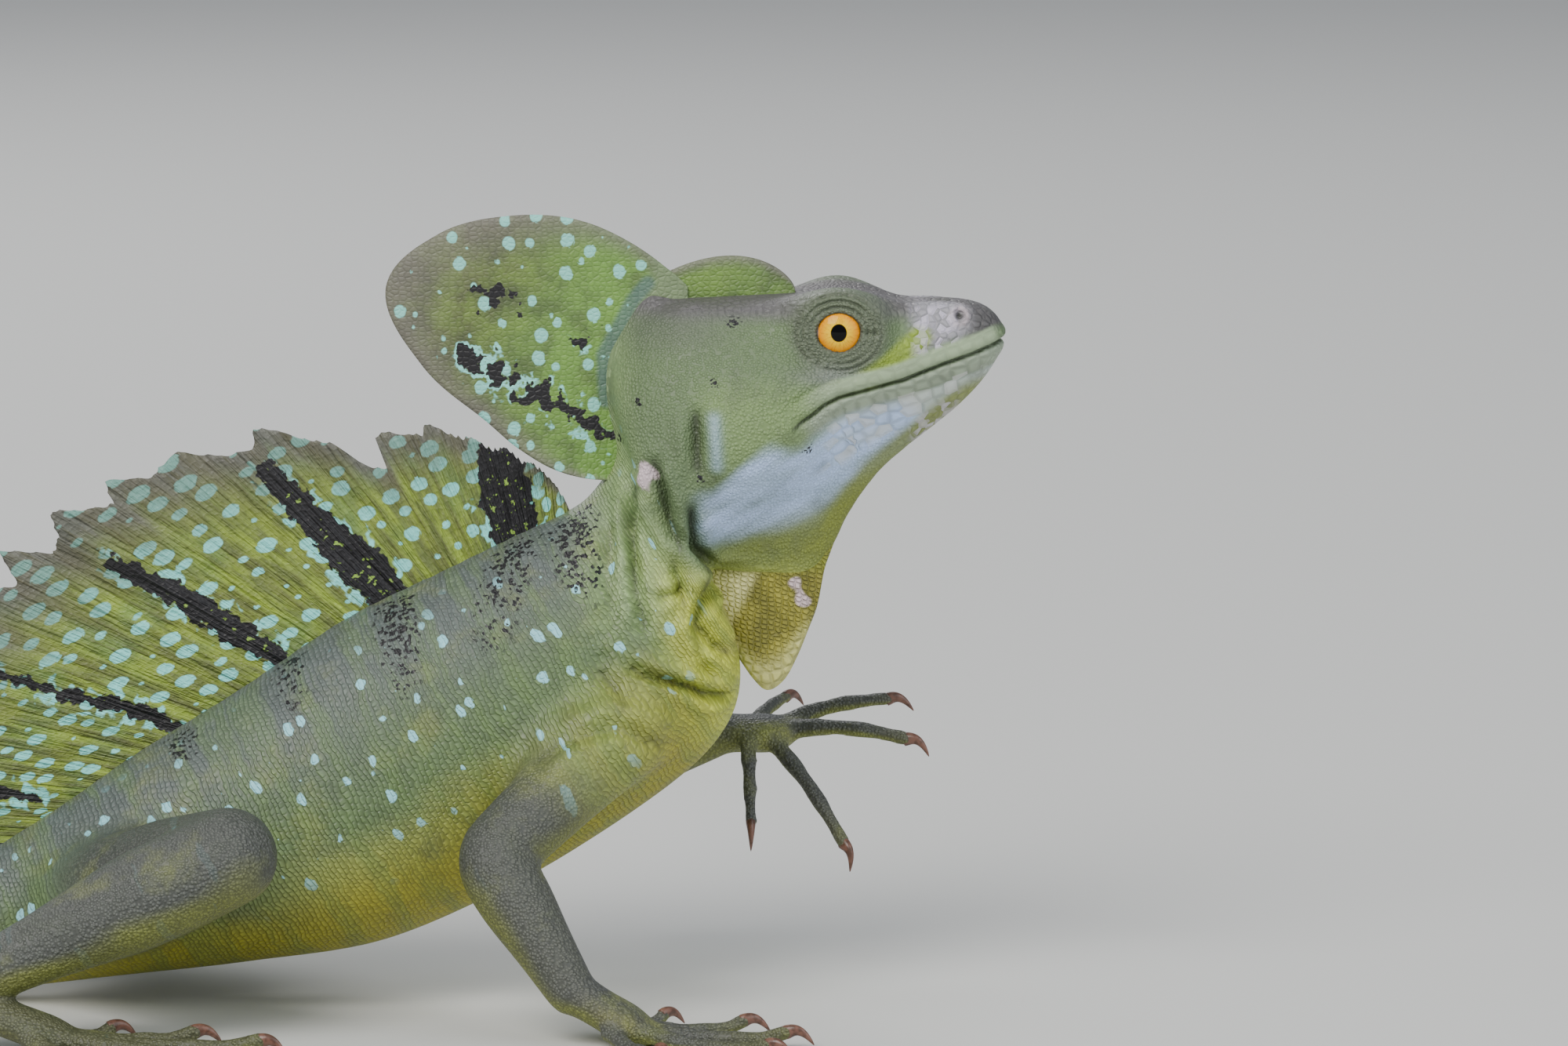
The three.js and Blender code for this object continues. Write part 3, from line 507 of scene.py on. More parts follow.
def limbPlace(points):
    # for each point: the signed height over the nearest limb's surface, its length along that limb, from the
    # shoulder or hip to the tip of a digit, and whether there is a limb at all
    height, length = np.full(len(points), 1e3), np.zeros(len(points))
    for limb in limbLines:
        path = limb["path"]
        x, y, z = points.T
        near = (limb["side"] * y > -6) & (x > path[:, 0].min() - 50) & (x < path[:, 0].max() + 75) & (z < 75)
        where = np.flatnonzero(near)
        reach = lengthAlong(path[:, :3])
        parts = [(path[:, :3], path[:, 3], reach)]
        palm = np.linspace(*limb["palm"], 20)
        parts.append((palm, np.full(20, 4.0), reach[-1] + 0.9 * np.arange(20)))
        for way, thick in limb["digits"]:
            pitch = np.linalg.norm(way[-1] - way[0]) / len(way)
            parts.append((way, thick, reach[-1] + 18 + pitch * np.arange(len(way))))
        for line, radius, places in parts:
            d, i = nearestOnLine(points[where], line)
            over = d - radius[i]
            closer = over < height[where]
            height[where[closer]], length[where[closer]] = over[closer], places[i[closer]]
    return height, length, height < 1e3


def neighbours(mesh):
    # both directions of every edge, for averaging over a point's neighbours
    ends = edgeEnds(mesh)
    return np.concatenate([ends[:, 0], ends[:, 1]]), np.concatenate([ends[:, 1], ends[:, 0]])


def relax(points, links, weight, rounds):
    # each round moves a point by its weight towards the mean of its neighbours
    here, there = links
    count = np.maximum(np.bincount(here, minlength=len(points)), 1)[:, None]
    for _ in range(rounds):
        mean = np.stack([np.bincount(here, points[there, k], len(points)) for k in range(3)], 1) / count
        points = points + (mean - points) * weight[:, None]
    return points


points = readPoints(skin.data)
links = neighbours(skin.data)
_, _, _, bodyOut, bodySize = bodyPlace(points)
limbHeight, limbLength, _ = limbPlace(points)
bothHeights = (np.abs((bodyOut - 1) * bodySize) + np.abs(limbHeight)) / 2
joint = hill(bothHeights, skinSettings["jointBlend"]) * (limbLength < 30)
headLine = np.interp(points[:, 2], [71.8, 96.3], [12.8, -1.3])
behindHead = hill(points[:, 0] - headLine, skinSettings["headBlend"]) * (points[:, 2] > 66)
points = relax(points, links, np.clip(0.25 + joint + 0.7 * behindHead, 0, 0.95), 30)
points = relax(points, links, np.clip(0.95 * joint, 0, 0.95), skinSettings["jointRounds"])
writePoints(skin.data, points)
print("skin smoothed")


def nearestStrip(points, line):
    # distance in the X-Z plane to a broken line, and how far along it the nearest point is
    flat, line = points[:, [0, 2]], np.asarray(line, float)
    best, place, start = np.full(len(flat), 1e9), np.zeros(len(flat)), 0.0
    for a, b in zip(line[:-1], line[1:]):
        step = b - a
        length = np.hypot(*step)
        t = np.clip(((flat - a) @ step) / length**2, 0, 1)
        d = np.hypot(*(flat - a - t[:, None] * step).T)
        nearer = d < best
        best[nearer], place[nearer] = d[nearer], (start + t * length)[nearer]
        start += length
    return best, place


def refine(obj, chosen):
    # cuts every edge whose middle is chosen in two
    middles = readPoints(obj.data)[edgeEnds(obj.data)].mean(1)
    edit = bmesh.new()
    edit.from_mesh(obj.data)
    edit.edges.ensure_lookup_table()
    edges = [edit.edges[k] for k in np.flatnonzero(chosen(middles))]
    bmesh.ops.subdivide_edges(edit, edges=edges, cuts=1, use_grid_fill=True)
    bmesh.ops.triangulate(edit, faces=edit.faces)
    edit.to_mesh(obj.data)
    edit.free()


print("carving the head and the folds")
face = {
    "mouthX": [62.5, 59.3, 56.1, 51, 44.6, 38.3, 34.4, 31.9, 30, 28.1, 27],
    "mouthZ": [109.6, 108.3, 107.1, 105.5, 103.2, 101.7, 100.8, 99.6, 98.1, 96.9, 95.9],
    "mouthDepth": 0.85, "mouthWidth": 0.34, "lip": 0.34,
    "lidOpening": 3.02, "lidRings": 0.24, "lidPitch": 1.0, "lidStretch": 1.14,
    "lidOut": 12.2, "socketOut": 9.8,
    "nostril": (53.8, 113.2), "ear": (11.5, 94.0), "earHeight": 4.8, "earDepth": 1.7,
}
# soft forms of the head's side: height, middle in X and Z, half length and height, and where in Y they start
swells = [
    (1.2, 17, 87.5, 11.5, 11, 6, 11), (0.7, 21, 104, 8, 6, 4, 8), (0.6, 28, 91, 9, 5, 4, 8),
]
# the folds of the neck and chest: each a line in X and Z, its depth and its half width
folds = [
    ([(4.5, 90.4), (6.4, 82.7), (8.9, 76.2)], 1.5, 1.0),
    ([(1.6, 86), (1.0, 77), (1.6, 69), (3.2, 63.4)], 1.5, 1.0),
    ([(-2.4, 80), (-3.2, 72), (-1.6, 64)], 0.7, 1.1),
    ([(10.2, 83), (11.2, 76.4), (13.6, 72.2), (19.1, 70.6), (26, 69.6)], 1.6, 1.0),
    ([(13.4, 71.3), (11.8, 66.6), (11.2, 64), (13.2, 61.4), (16, 58.6)], 1.7, 1.0),
    ([(7.4, 74), (9.0, 69.4), (9.4, 65.6)], 1.2, 0.9),
    ([(5, 68.2), (9, 69.6), (12, 69.2)], 0.8, 0.8),
    ([(10.8, 63), (12.6, 57.5), (14.6, 54)], 0.8, 0.9),
    ([(0.5, 57.6), (6.4, 55.2), (12.8, 52.3), (17, 51.6)], 1.6, 0.9),
    ([(-14, 42.8), (-10.2, 46.7), (-1.3, 48.6), (6, 45)], 1.0, 1.3),
    ([(-6, 62), (-3.5, 56), (0, 52)], 0.9, 1.0),
]
mouthLine = np.stack([face["mouthX"], face["mouthZ"]], 1)
mouthLength = lengthAlong(mouthLine)[-1]


def mouthPlace(p):
    # how far a point is from the snout along the mouth, and how far above (+) or below (-) the mouth line
    d, s = nearestStrip(p, mouthLine)
    line = np.interp(p[:, 0], mouthLine[::-1, 0], mouthLine[::-1, 1])
    return s, np.where(p[:, 2] > line, d, -d)


def eyeDistance(p):
    # distance from the eye's axis, with the long way of the lids shortened
    return np.hypot((p[:, 0] - eyeCentre[0]) / face["lidStretch"], p[:, 2] - eyeCentre[2])


def fromNostril(x, z):
    return np.hypot(x - face["nostril"][0], z - face["nostril"][1])


def fromEar(x, z):
    # how far ahead of the ear's leaning line, and how far above the ear's middle
    high = z - face["ear"][1]
    return x - face["ear"][0] + 0.05 * high, high


def carveHead(p, normal):
    # lays the head's forms on its surface, each a hill of the distance from its line or middle: soft swells,
    # brow and ridge, lids that follow a ring wave round the eye, mouth and lips, and nostril and ear
    x, a, z = p[:, 0].copy(), np.abs(p[:, 1]), p[:, 2].copy()
    side = np.where(p[:, 1] < 0, -1.0, 1.0)
    p, outer = p.copy(), smooth(a, 4, 8)
    for height, middleX, middleZ, wide, tall, low, high in swells:
        swell = height * hill(np.hypot((x - middleX) / wide, (z - middleZ) / tall), 1) * smooth(a, low, high)
        p += normal * swell[:, None]
    p[:, 1] += side * 2.1 * hill(eyeDistance(p), 7.5) * outer
    brow = 2.5 * hill(x - 34.5, 9) * hill(a - 7.4, 3.6) * smooth(z, 111.5, 116.3)
    ridge = 0.7 * hill(x - 48, 7) * hill(a - 5.8, 1.6) * smooth(z, 111, 114)
    p[:, 2] += brow + ridge
    rho = eyeDistance(p)
    rings = face["lidRings"] * np.cos(2 * math.pi * (rho - 3.6) / face["lidPitch"]) * smooth(rho, 3.3, 3.9)
    bulge = face["lidOut"] - 0.03 * np.maximum(rho - 3.7, 0) ** 2.2 + rings * (1 - smooth(rho, 6.1, 7.4))
    opening = smooth(rho, face["lidOpening"] - 0.3, face["lidOpening"] + 0.1)
    target = face["socketOut"] + (bulge - face["socketOut"]) * opening
    blend = (1 - smooth(rho, 5.8, 8.8)) * smooth(a, 5, 7.5)
    p[:, 1] = side * (np.abs(p[:, 1]) * (1 - blend) + target * blend)
    corner = hill(z - 111.1, 0.4) * smooth(x, 37.5, 38.6) * (1 - smooth(x, 40, 41.5))
    p[:, 1] -= side * 0.6 * corner * outer
    s, d = mouthPlace(np.stack([x, a, z], 1))
    fade = 1 - smooth(s, mouthLength - 3, mouthLength + 0.5)
    lateral = smooth(np.abs(normal[:, 1]) + 0.6 * (x > 56), 0.1, 0.4)
    groove = -face["mouthDepth"] * hill(d, face["mouthWidth"]) * fade
    lips = face["lip"] * (hill(d - 1.25, 1.0) + 0.8 * hill(d + 1.2, 0.9)) * fade
    crease = -0.3 * (hill(d - 3.3, 0.5) + hill(d + 3.1, 0.5)) * fade * smooth(s, 4, 10)
    pucker = 0.5 * hill(np.hypot(x - 25.6, z - 95.6), 1.8)
    away = fromNostril(x, z)
    nose = (0.4 * hill(away - 1.15, 0.45) - 1.1 * hill(away, 0.6)) * smooth(a, 2, 3.5)
    lean, earHigh = fromEar(x, z)
    tall = hill(earHigh / face["earHeight"], 1) * smooth(face["earHeight"] * 1.3 - np.abs(earHigh), 0, 1.5)
    ear = -face["earDepth"] * hill(lean, 1.25) + 1.0 * hill(lean - 3, 1.1) + 0.4 * hill(lean + 2.6, 1)
    ear = ear * tall * smooth(a, 8, 11)
    p += normal * ((groove + lips + crease + pucker) * lateral + nose + ear)[:, None]
    return p


def carveFolds(p, normal):
    # every fold sinks by a hill across its line and swells on both sides, fading at its ends
    push = np.zeros(len(p))
    wavy = p + np.stack([waves(p, 7, 3), 0 * p[:, 0], waves(p, 9, 4)], 1) * 0.5
    for line, depth, width in folds:
        d, s = nearestStrip(wavy, line)
        ends = smooth(np.minimum(s, lengthAlong(line)[-1] - s), -1.5, 2.5)
        push += ends * depth * (0.8 * hill(d - 2.2 * width, 1.2 * width) - 1.3 * hill(d, 0.85 * width))
    return p + normal * (push * smooth(np.abs(p[:, 1]), 3, 7))[:, None]


def headSpan(p):
    # head and neck, which are given smaller triangles
    return (p[:, 0] > -9) & (p[:, 2] > 49) & (p[:, 2] > 62 - 1.2 * p[:, 0])


def fineSpan(p):
    # round the eyes, along the mouth, at the ears and the nostrils
    x, a, z = p[:, 0], np.abs(p[:, 1]), p[:, 2]
    s, d = mouthPlace(np.stack([x, a, z], 1))
    eyes = (eyeDistance(p) < 7.4) & (a > 5)
    mouth = (np.abs(d) < 1.3) & (a > 1) & (z > 94) & (s < mouthLength + 1)
    ear = (np.hypot((x - face["ear"][0] - 1.3) / 4.6, (z - face["ear"][1]) / 6.5) < 1) & (a > 6)
    return eyes | mouth | ear | (fromNostril(x, z) < 1.9)


kept = skinSettings["plainTriangles"] / (2 * len(skin.data.polygons))
applyModifier(skin, "DECIMATE", ratio=kept, use_collapse_triangulate=True)
refine(skin, headSpan)
refine(skin, fineSpan)
points = readPoints(skin.data)
points = relax(points, neighbours(skin.data), 0.5 * headSpan(points), 5)
writePoints(skin.data, points)
points, normals = readPoints(skin.data), readVectors(skin.data, "normal")
inHead = headSpan(points)
inTrunk = (points[:, 0] > -40) & (points[:, 2] > 20)
carved = points.copy()
carved[inHead] = carveHead(points[inHead], normals[inHead])
writePoints(skin.data, carved)
normals = readVectors(skin.data, "normal")
carved[inTrunk] = carveFolds(carved[inTrunk], normals[inTrunk])
writePoints(skin.data, carved)
smoothFaces(skin.data)
print("skin has", len(skin.data.polygons), "triangles")

print("painting the skin")
tints = {  # sRGB, 0 to 255
    "back": (96, 105, 102), "flank": (100, 121, 80), "side": (152, 160, 74), "belly": (164, 160, 46),
    "chest": (200, 208, 76), "neck": (158, 182, 126), "head": (106, 126, 88), "casque": (98, 95, 96),
    "cheek": (126, 150, 96), "orbit": (104, 114, 92), "underEye": (122, 130, 118), "stripe": (142, 166, 54),
    "snout": (160, 158, 164), "snoutTip": (84, 82, 82), "upperLip": (148, 166, 132),
    "lowerLip": (154, 168, 144), "jaw": (182, 194, 184), "throat": (192, 216, 255),
    # dark is painted shade, laid in the ear's pit, the nostril, the mouth's groove, the lid grooves and the
    # folds
    "throatFront": (128, 138, 52), "ear": (156, 184, 192), "dark": (48, 50, 40), "pink": (220, 200, 206),
    "limbTop": (84, 86, 82), "limbUnder": (132, 138, 64), "toe": (96, 98, 66), "tail": (96, 106, 80),
    "tailBand": (64, 70, 56), "gular": (190, 184, 110), "paintedGlint": (150, 190, 198),
}
faceLines = {  # in X and Z: the lime stripe and a painted highlight, a pale blue glint, under the eye, the blue throat and the chin's edge
    "stripe": [(38.9, 103.8), (42.6, 106), (47.4, 110)],
    "paintedGlint": [(35, 102.9), (40, 103.9)],
    "throat": [(13.5, 81), (18, 84.5), (22, 84), (30, 88), (40, 95)],
    "throatFront": [(26, 70), (33.4, 74.4), (36.3, 80.2), (40.5, 86.3), (49.7, 94.4), (56, 100)],
}
skinBars = [  # the dark bars of the flank, each from its top down
    [(-7.7, 84.5), (-8.9, 76.5), (-5.5, 68)], [(-17.5, 77), (-20.4, 68), (-22.3, 57)],
    [(-38, 67), (-36.5, 58), (-34.4, 51)], [(-56, 57.5), (-52.9, 49)], [(-73.3, 46), (-70, 41)],
]
specks = [  # black flecks of head and neck: X, Z and radius
    (14.2, 103.3, 0.6), (1.8, 100, 0.6), (17.4, 112.6, 0.7), (12.2, 88.2, 0.6), (29.4, 92.4, 0.6),
    (-1.6, 93, 0.8),
]
tailBands = {"every": 34, "wander": 0.8, "strength": 0.75}


def toLinear(colour):
    # the sRGB curve undone
    c = np.asarray(colour, float) / 255
    return np.where(c <= 0.04045, c / 12.92, ((c + 0.055) / 1.055) ** 2.4)


def paintSkin(p, normal):
    # starts from the flank and lays one zone over another, each with its own soft edge
    t, s, angle, _, size = bodyPlace(p)
    limbHeight, limbLength, hasLimb = limbPlace(p)
    x, a, z = p[:, 0], np.abs(p[:, 1]), p[:, 2]
    mouthS, mouthD = mouthPlace(np.stack([x, a, z], 1))
    rho = eyeDistance(p)
    onHead = smooth(x - np.interp(z, [66, 96], [10, -2]), -3, 5) * smooth(z, 69, 76)
    colour = np.tile(toLinear(tints["flank"]), (len(p), 1))

    def lay(name, share):
        colour[:] = colour + (toLinear(tints[name]) - colour) * np.clip(share, 0, 1)[:, None]

    def layHead(name, share, side=None):
        lay(name, onHead * share * (smooth(a, *side) if side else 1))

    low = -np.cos(angle)
    around = low + 0.14 * waves(p, 34, 7)
    lay("back", 1 - smooth(around, -0.95, 0.05))
    lay("side", smooth(around, 0.0, 0.4) * smooth(x, -75, -35))
    lay("belly", smooth(around, 0.3, 0.7))
    lay("neck", smooth(x, -12, 2) * smooth(z, 58, 70))
    lay("chest", smooth(x, -14, 4) * window(z, 30, 44, 66, 80) * smooth(x - 0.25 * (66 - z), 2, 12))
    onTail, underTail = smooth(t, 9.6, 11), smooth(low, 0.2, 0.9)
    lay("tail", onTail * (1 - 0.65 * underTail))
    wander = tailBands["wander"] * waves(p, 40, 12)
    band = smooth(np.sin(2 * math.pi * s / tailBands["every"] + wander), 0.1, 0.75)
    lay("tailBand", onTail * band * tailBands["strength"] * (1 - 0.6 * underTail))
    limb = (1 - smooth(limbHeight, -0.5, 3.5)) * hasLimb * smooth(limbLength, 7, 24)
    lay("limbTop", limb)
    lay("limbUnder", 0.9 * limb * smooth(-normal[:, 2] + 0.25 * waves(p, 16, 9), 0.0, 0.6))
    lay("toe", 0.8 * limb * smooth(limbLength, 84, 96))
    layHead("head", 1)
    layHead("cheek", window(z, 84, 92, 100, 106) * smooth(x, 8, 16))
    layHead("casque", smooth(z, 111.6, 114.6) * (1 - 0.7 * hill(a - 9, 2.5) * hill(x - 35, 7)))
    layHead("casque", 0.45 * smooth(z, 105, 112) * (1 - smooth(x, 8, 22)))
    layHead("snout", smooth(x, 44.5, 48) * smooth(mouthD, 2.6, 4), (2, 4))
    layHead("snoutTip", smooth(x, 53.8, 57) * smooth(mouthD, 1.5, 3.2))
    layHead("casque", 0.8 * smooth(x, 40, 46) * (1 - smooth(a, 3, 5)) * smooth(mouthD, 4, 6))
    layHead("stripe", 1 - smooth(nearestStrip(p, faceLines["stripe"])[0], 1.2, 2.4), (4, 6))
    layHead("orbit", 1 - smooth(rho, 5.8, 8), (5, 7))
    layHead("underEye", hill(np.hypot((x - 33) / 5.5, (z - 104.3) / 1.7), 1))
    # painted highlight: a pale blue glint along the swell of the upper lip under the eye
    layHead("paintedGlint", 0.7 * (1 - smooth(nearestStrip(p, faceLines["paintedGlint"])[0], 0.5, 1.3)), (5, 7))
    layHead("upperLip", window(mouthD, 0.1, 0.5, 2.6, 3.3) * window(mouthS, 1, 3, 30, 37))
    below = (1 - smooth(mouthD, -0.5, -0.1)) * (1 - smooth(mouthS, 34, 40) * (mouthD > -3))
    layHead("lowerLip", below * smooth(x, 26, 30) * smooth(mouthD, -3.4, -2.8))
    layHead("jaw", window(mouthD, -11, -9, -3.4, -2.8) * smooth(x, 30, 36))
    away = nearestStrip(p, faceLines["throat"])[0] + 0.8 * waves(p, 9, 21)
    top = np.interp(x, [14, 16.3, 19.5, 23.5, 29, 40], [86, 88, 91, 95.3, 96.5, 101])
    blue = (1 - smooth(away, 5.0, 9.5)) * smooth(x, 9.5, 15) * smooth(-mouthD, 2.0, 5.5)
    streaks = 0.85 + 0.3 * waves(np.stack([0.35 * x - 0.2 * z, 0 * x, 0.45 * x - z], 1), 2.6, 8)
    layHead("throat", blue * (1 - smooth(z - top, -2.0, 1.0)) * streaks * smooth(z, 75, 80))
    away = nearestStrip(p, faceLines["throatFront"])[0] + 0.05 * a**2
    layHead("throatFront", 0.9 * (1 - smooth(away, 2.6, 5.4)) * smooth(-mouthD, 3, 6))
    layHead("throatFront", 0.8 * (1 - smooth(z - 0.42 * (x - 14), 72, 78)) * smooth(x, 12, 16))
    earX, earHigh = fromEar(x, z)
    tall = 1 - smooth(np.abs(earHigh), face["earHeight"] * 0.75, face["earHeight"] * 1.2)
    lay("ear", 0.85 * hill(earX - 3, 1.1) * tall * smooth(a, 8, 11))
    # painted shade in the ear's pit, where the ear is carved deepest
    lay("dark", 0.75 * hill(earX, 1.0) * tall * smooth(a, 8, 11))
    away = fromNostril(x, z)
    layHead("pink", 0.5 * hill(away - 1.2, 0.5), (2, 3))
    # painted shade in the nostril's hole, inside its pink rim
    layHead("dark", hill(away, 0.7), (2, 3))
    # painted shade along the mouth's groove
    layHead("dark", 0.8 * hill(mouthD, 0.32) * (1 - smooth(mouthS, mouthLength - 1, mouthLength + 2)))
    # painted shade: thin dark rings where the lids meet the eye and in the grooves between the lid rings
    lidGrooveShade = ((1, 3.15, 0.22), (0.5, 4.1, 0.16), (0.35, 5.1, 0.18), (0.5, 6.1, 0.24))
    layHead("dark", 0.75 * sum(share * hill(rho - r, width) for share, r, width in lidGrooveShade), (6, 8))
    # painted shade: each fold's line darkened by its depth, as shade in its crease
    for line, depth, width in folds:
        lay("dark", 0.4 * depth * hill(nearestStrip(p, line)[0], 0.5 * width) * smooth(a, 3, 7))
    patch = np.hypot(x - 3.4, (z - 88.6) * 0.75) + 0.9 * waves(p, 3.4, 31)
    lay("pink", (1 - smooth(patch, 1.4, 1.8)) * smooth(a, 5, 7) * (p[:, 1] < 0))
    lay("gular", 0.7 * smooth(x, 12, 15) * window(z, 56, 60, 66, 70) * (1 - smooth(a, 5, 10)))
    return np.clip(colour, 0, 1), t, s, angle, size, limb, onHead, mouthS, mouthD, rho


def skinFlecks(p):
    # thick at the top of every bar, thinning out towards its lower end, and a hill for every speck
    share = np.zeros(len(p))
    for number, line in enumerate(skinBars):
        d, s = nearestStrip(p, line)
        strength = 0.95 if number == 0 else 0.68
        fade = 1 - 0.85 * s / lengthAlong(line)[-1]
        share = np.maximum(share, strength * hill(d, 2.6 + 0.1 * s) * fade)
    for x, z, r in specks:
        share = np.maximum(share, 1.3 * hill(np.hypot(p[:, 0] - x, p[:, 2] - z), r))
    return share


def markSkin(p, normal):
    # what the skin's material reads: colours, where along the rows of scales and the mouth a point is, and
    # how much of each kind of scale, of spots and of flecks it has
    paint, t, s, angle, size, limb, onHead, mouthS, mouthD, rho = paintSkin(p, normal)
    x, a, z, low = p[:, 0], np.abs(p[:, 1]), p[:, 2], -np.cos(angle)
    setAttribute(skin.data, "paint", np.hstack([paint, np.ones((len(paint), 1))]), "FLOAT_COLOR")
    setAttribute(skin.data, "rows", np.stack([s, angle * size, 0 * s], 1), "FLOAT_VECTOR")
    setAttribute(skin.data, "jaw", np.stack([mouthS, mouthD, 0 * s], 1), "FLOAT_VECTOR")
    seam = smooth(math.pi - np.abs(angle), 0.05, 0.2)
    jawShare = onHead * smooth(x, 30, 36) * window(mouthD, -11.5, -9, 2.6, 3.2) * smooth(a, 3, 5)
    snout = smooth(x, 41, 47) * (1 - jawShare) * smooth(rho, 7, 9)
    crown = 0.8 * smooth(z, 112, 115) * smooth(rho, 5, 7)
    shares = {
        "headShare": onHead,
        "rowShare": (1 - np.clip(limb * 1.3, 0, 1)) * (1 - smooth(onHead, 0.1, 0.7)) * seam,
        "jawShare": jawShare,
        "plateShare": np.clip(onHead * (snout + crown), 0, 1),
        "fleck": skinFlecks(p) * smooth(a, 2, 5),
        "spotty": (1 - onHead) * (1 - limb) * window(low, -0.98, -0.7, 0.1, 0.6) * (t < 12),
        "contrast": 1 - 0.45 * onHead + 0.2 * limb + 0.1 * jawShare,
    }
    for name, share in shares.items():
        setAttribute(skin.data, name, share)


markSkin(readPoints(skin.data), readVectors(skin.data, "normal"))


def finBody(name, middle, half, side=(0.0, 1.0, 0.0)):
    # a closed thin body: the middle surface plus and minus half its thickness along side, with the faces
    # joined at the edges; UV runs 0 to 1 along the root and from root to rim
    rows, columns = middle.shape[:2]
    u, v = np.meshgrid(np.linspace(0, 1, rows), np.linspace(0, 1, columns), indexing="ij")
    offset = half[..., None] * np.asarray(side)
    points = np.vstack([(middle - offset).reshape(-1, 3), (middle + offset).reshape(-1, 3)])
    near = gridFaces(rows, columns)
    far = near[:, ::-1] + rows * columns
    index = np.arange(rows * columns).reshape(rows, columns)
    border = np.concatenate([index[:, 0], index[-1, 1:], index[-2::-1, -1], index[0, -2:0:-1]])
    after = np.roll(border, -1)
    edge = np.stack([border, border + rows * columns, after + rows * columns, after], 1)
    uv = np.tile(np.stack([u.ravel(), v.ravel()], 1), (2, 1))
    return makeObject(name, points, np.vstack([near, far, edge]).tolist(), uv), points


def finGrid(shape):
    # 0 to 1 along the root, down the grid, and 0 to 1 from root to rim, across it
    return np.linspace(0, 1, shape["columns"])[:, None], np.linspace(0, 1, shape["rows"])[None]


def finHeight(shape):
    # 0 at the root and 1 at the rim, for every point of both sides
    return np.tile(np.linspace(0, 1, shape["rows"]), 2 * shape["columns"])


def thinned(half, v, share):
    # half a thickness, rounded off over the last share before the rim
    return half * np.sqrt(np.clip((1 - v) / share, 0.12, 1))


def ridges(rays):
    # 1 on every ray and 0 between two: a raised cosine to the power 2.2
    return (0.5 + 0.5 * np.cos(2 * math.pi * rays)) ** 2.2


def setPlace(obj, rays, reach, v):
    # a sail's own coordinates: rays from its front end, millimetres from its root, and 0 to 1 up to its rim
    place = np.stack(np.broadcast_arrays(rays[:, None], reach[:, None] * v, v), -1)
    setAttribute(obj.data, "place", np.tile(place.reshape(-1, 3), (2, 1)), "FLOAT_VECTOR")


print("building the sail")
sail = {
    "from": 3.05, "to": 9.4, "sink": 1.6, "columns": 620, "rows": 62,
    "rayAngle": [86, 76, 56, 38, 25, 12, 3, 0],  # degrees above the tail's direction, at ribs 3 to 10
    "rays": 22, "rayRise": 0.34, "web": 0.3, "root": 0.8, "wave": 0.9, "scallop": 0.7, "jag": 0.7,
    "rimX": [-8.5, -12.9, -19, -24.5, -32.8, -33.6, -38, -41.4, -39.4, -43.5, -48.3, -58.5, -61, -61.3,
             -65.6, -73.5, -74.5, -77, -85.4, -83.8, -89.8, -94.2, -92.9, -94.2, -102.5, -100, -110, -107,
             -117, -113, -122, -118, -125, -121, -126, -120],
    "rimZ": [79.6, 87, 91, 92.6, 95, 93.8, 93.9, 93.2, 88.1, 89.1, 92.4, 94.2, 94.6, 91.4, 89.6, 90.8, 89.8,
             86.9, 85.8, 82.1, 81.2, 81, 76.9, 74.2, 74, 69, 66, 61.5, 57, 53, 47.5, 44, 38.5, 36, 32, 28],
}


def spine(t, sink):
    # the line under the back's crest where a sail is rooted, and the way across it
    centre, up, side = ribAt(t)
    return centre + up - unit(up) * sink, unit(side)


def rimByRay(rayStart, rayWay):
    # for each column, how far out it meets the rim: each rim point is given to the column that passes it
    # nearest, and the columns between are filled in along the rim
    place, reach = [], []
    for x, z in zip(sail["rimX"], sail["rimZ"]):
        away = np.array([x, z]) - rayStart[:, [0, 2]]
        along = (away * rayWay[:, [0, 2]]).sum(1)
        off = np.abs(away[:, 0] * rayWay[:, 2] - away[:, 1] * rayWay[:, 0]) + 50 * (along < 0)
        k = int(np.argmin(off))
        place.append(max(k, place[-1] + 1 if place else 0))
        reach.append(along[k])
    return np.interp(np.arange(sail["columns"]), place, reach)


def sailShape():
    # straight columns from the back to the rim, leaning as the rays do; the rim is scalloped between the rays
    # and jagged, and the surface flutters as two sines that grow towards it
    t = np.linspace(sail["from"], sail["to"], sail["columns"])
    root, _ = spine(t, sail["sink"])
    angle = np.radians(180 - through(sail["rayAngle"], t - 3))
    way = np.stack([np.cos(angle), 0 * t, np.sin(angle)], 1)
    u = np.linspace(0, 1, sail["columns"])
    fringe = 0.5 - 0.5 * np.cos(2 * math.pi * u * sail["rays"])
    jag = np.abs(waves(np.stack([u * 160, 0 * u, 0 * u], 1), 1.6, 17))
    reach = rimByRay(root, way) - sail["scallop"] * fringe - sail["jag"] * jag
    reach = reach * smooth(np.arange(len(t)), -40, 6)
    v = np.linspace(0, 1, sail["rows"]) ** 0.9
    middle = root[:, None] + way[:, None] * (reach[:, None] * v)[..., None]
    flutter = np.sin(2 * math.pi * u * 5.3)[:, None] * v**2
    flutter = flutter + 0.4 * np.sin(2 * math.pi * (u * 13.7 + 0.3))[:, None] * v**3
    middle[..., 1] += sail["wave"] * flutter
    web = sail["root"] * (1 - v) ** 3 + sail["web"] * (1 - 0.35 * v)
    half = web + sail["rayRise"] * ridges(u * sail["rays"])[:, None] * (1 - 0.55 * v)
    return middle, thinned(half, v, 0.03), u * sail["rays"], reach, v


middle, half, rays, reach, v = sailShape()
sailObject, sailPoints = finBody("sail", middle, half)
setPlace(sailObject, rays, reach, v)

print("building the tail crest")
tailCrest = {"from": 10.0, "to": 19.5, "sink": 1.2, "height": 19, "rays": 26, "columns": 520, "rows": 30,
             "rayRise": 0.22, "web": 0.3, "root": 0.5, "lean": 0.62, "sway": 0.7}


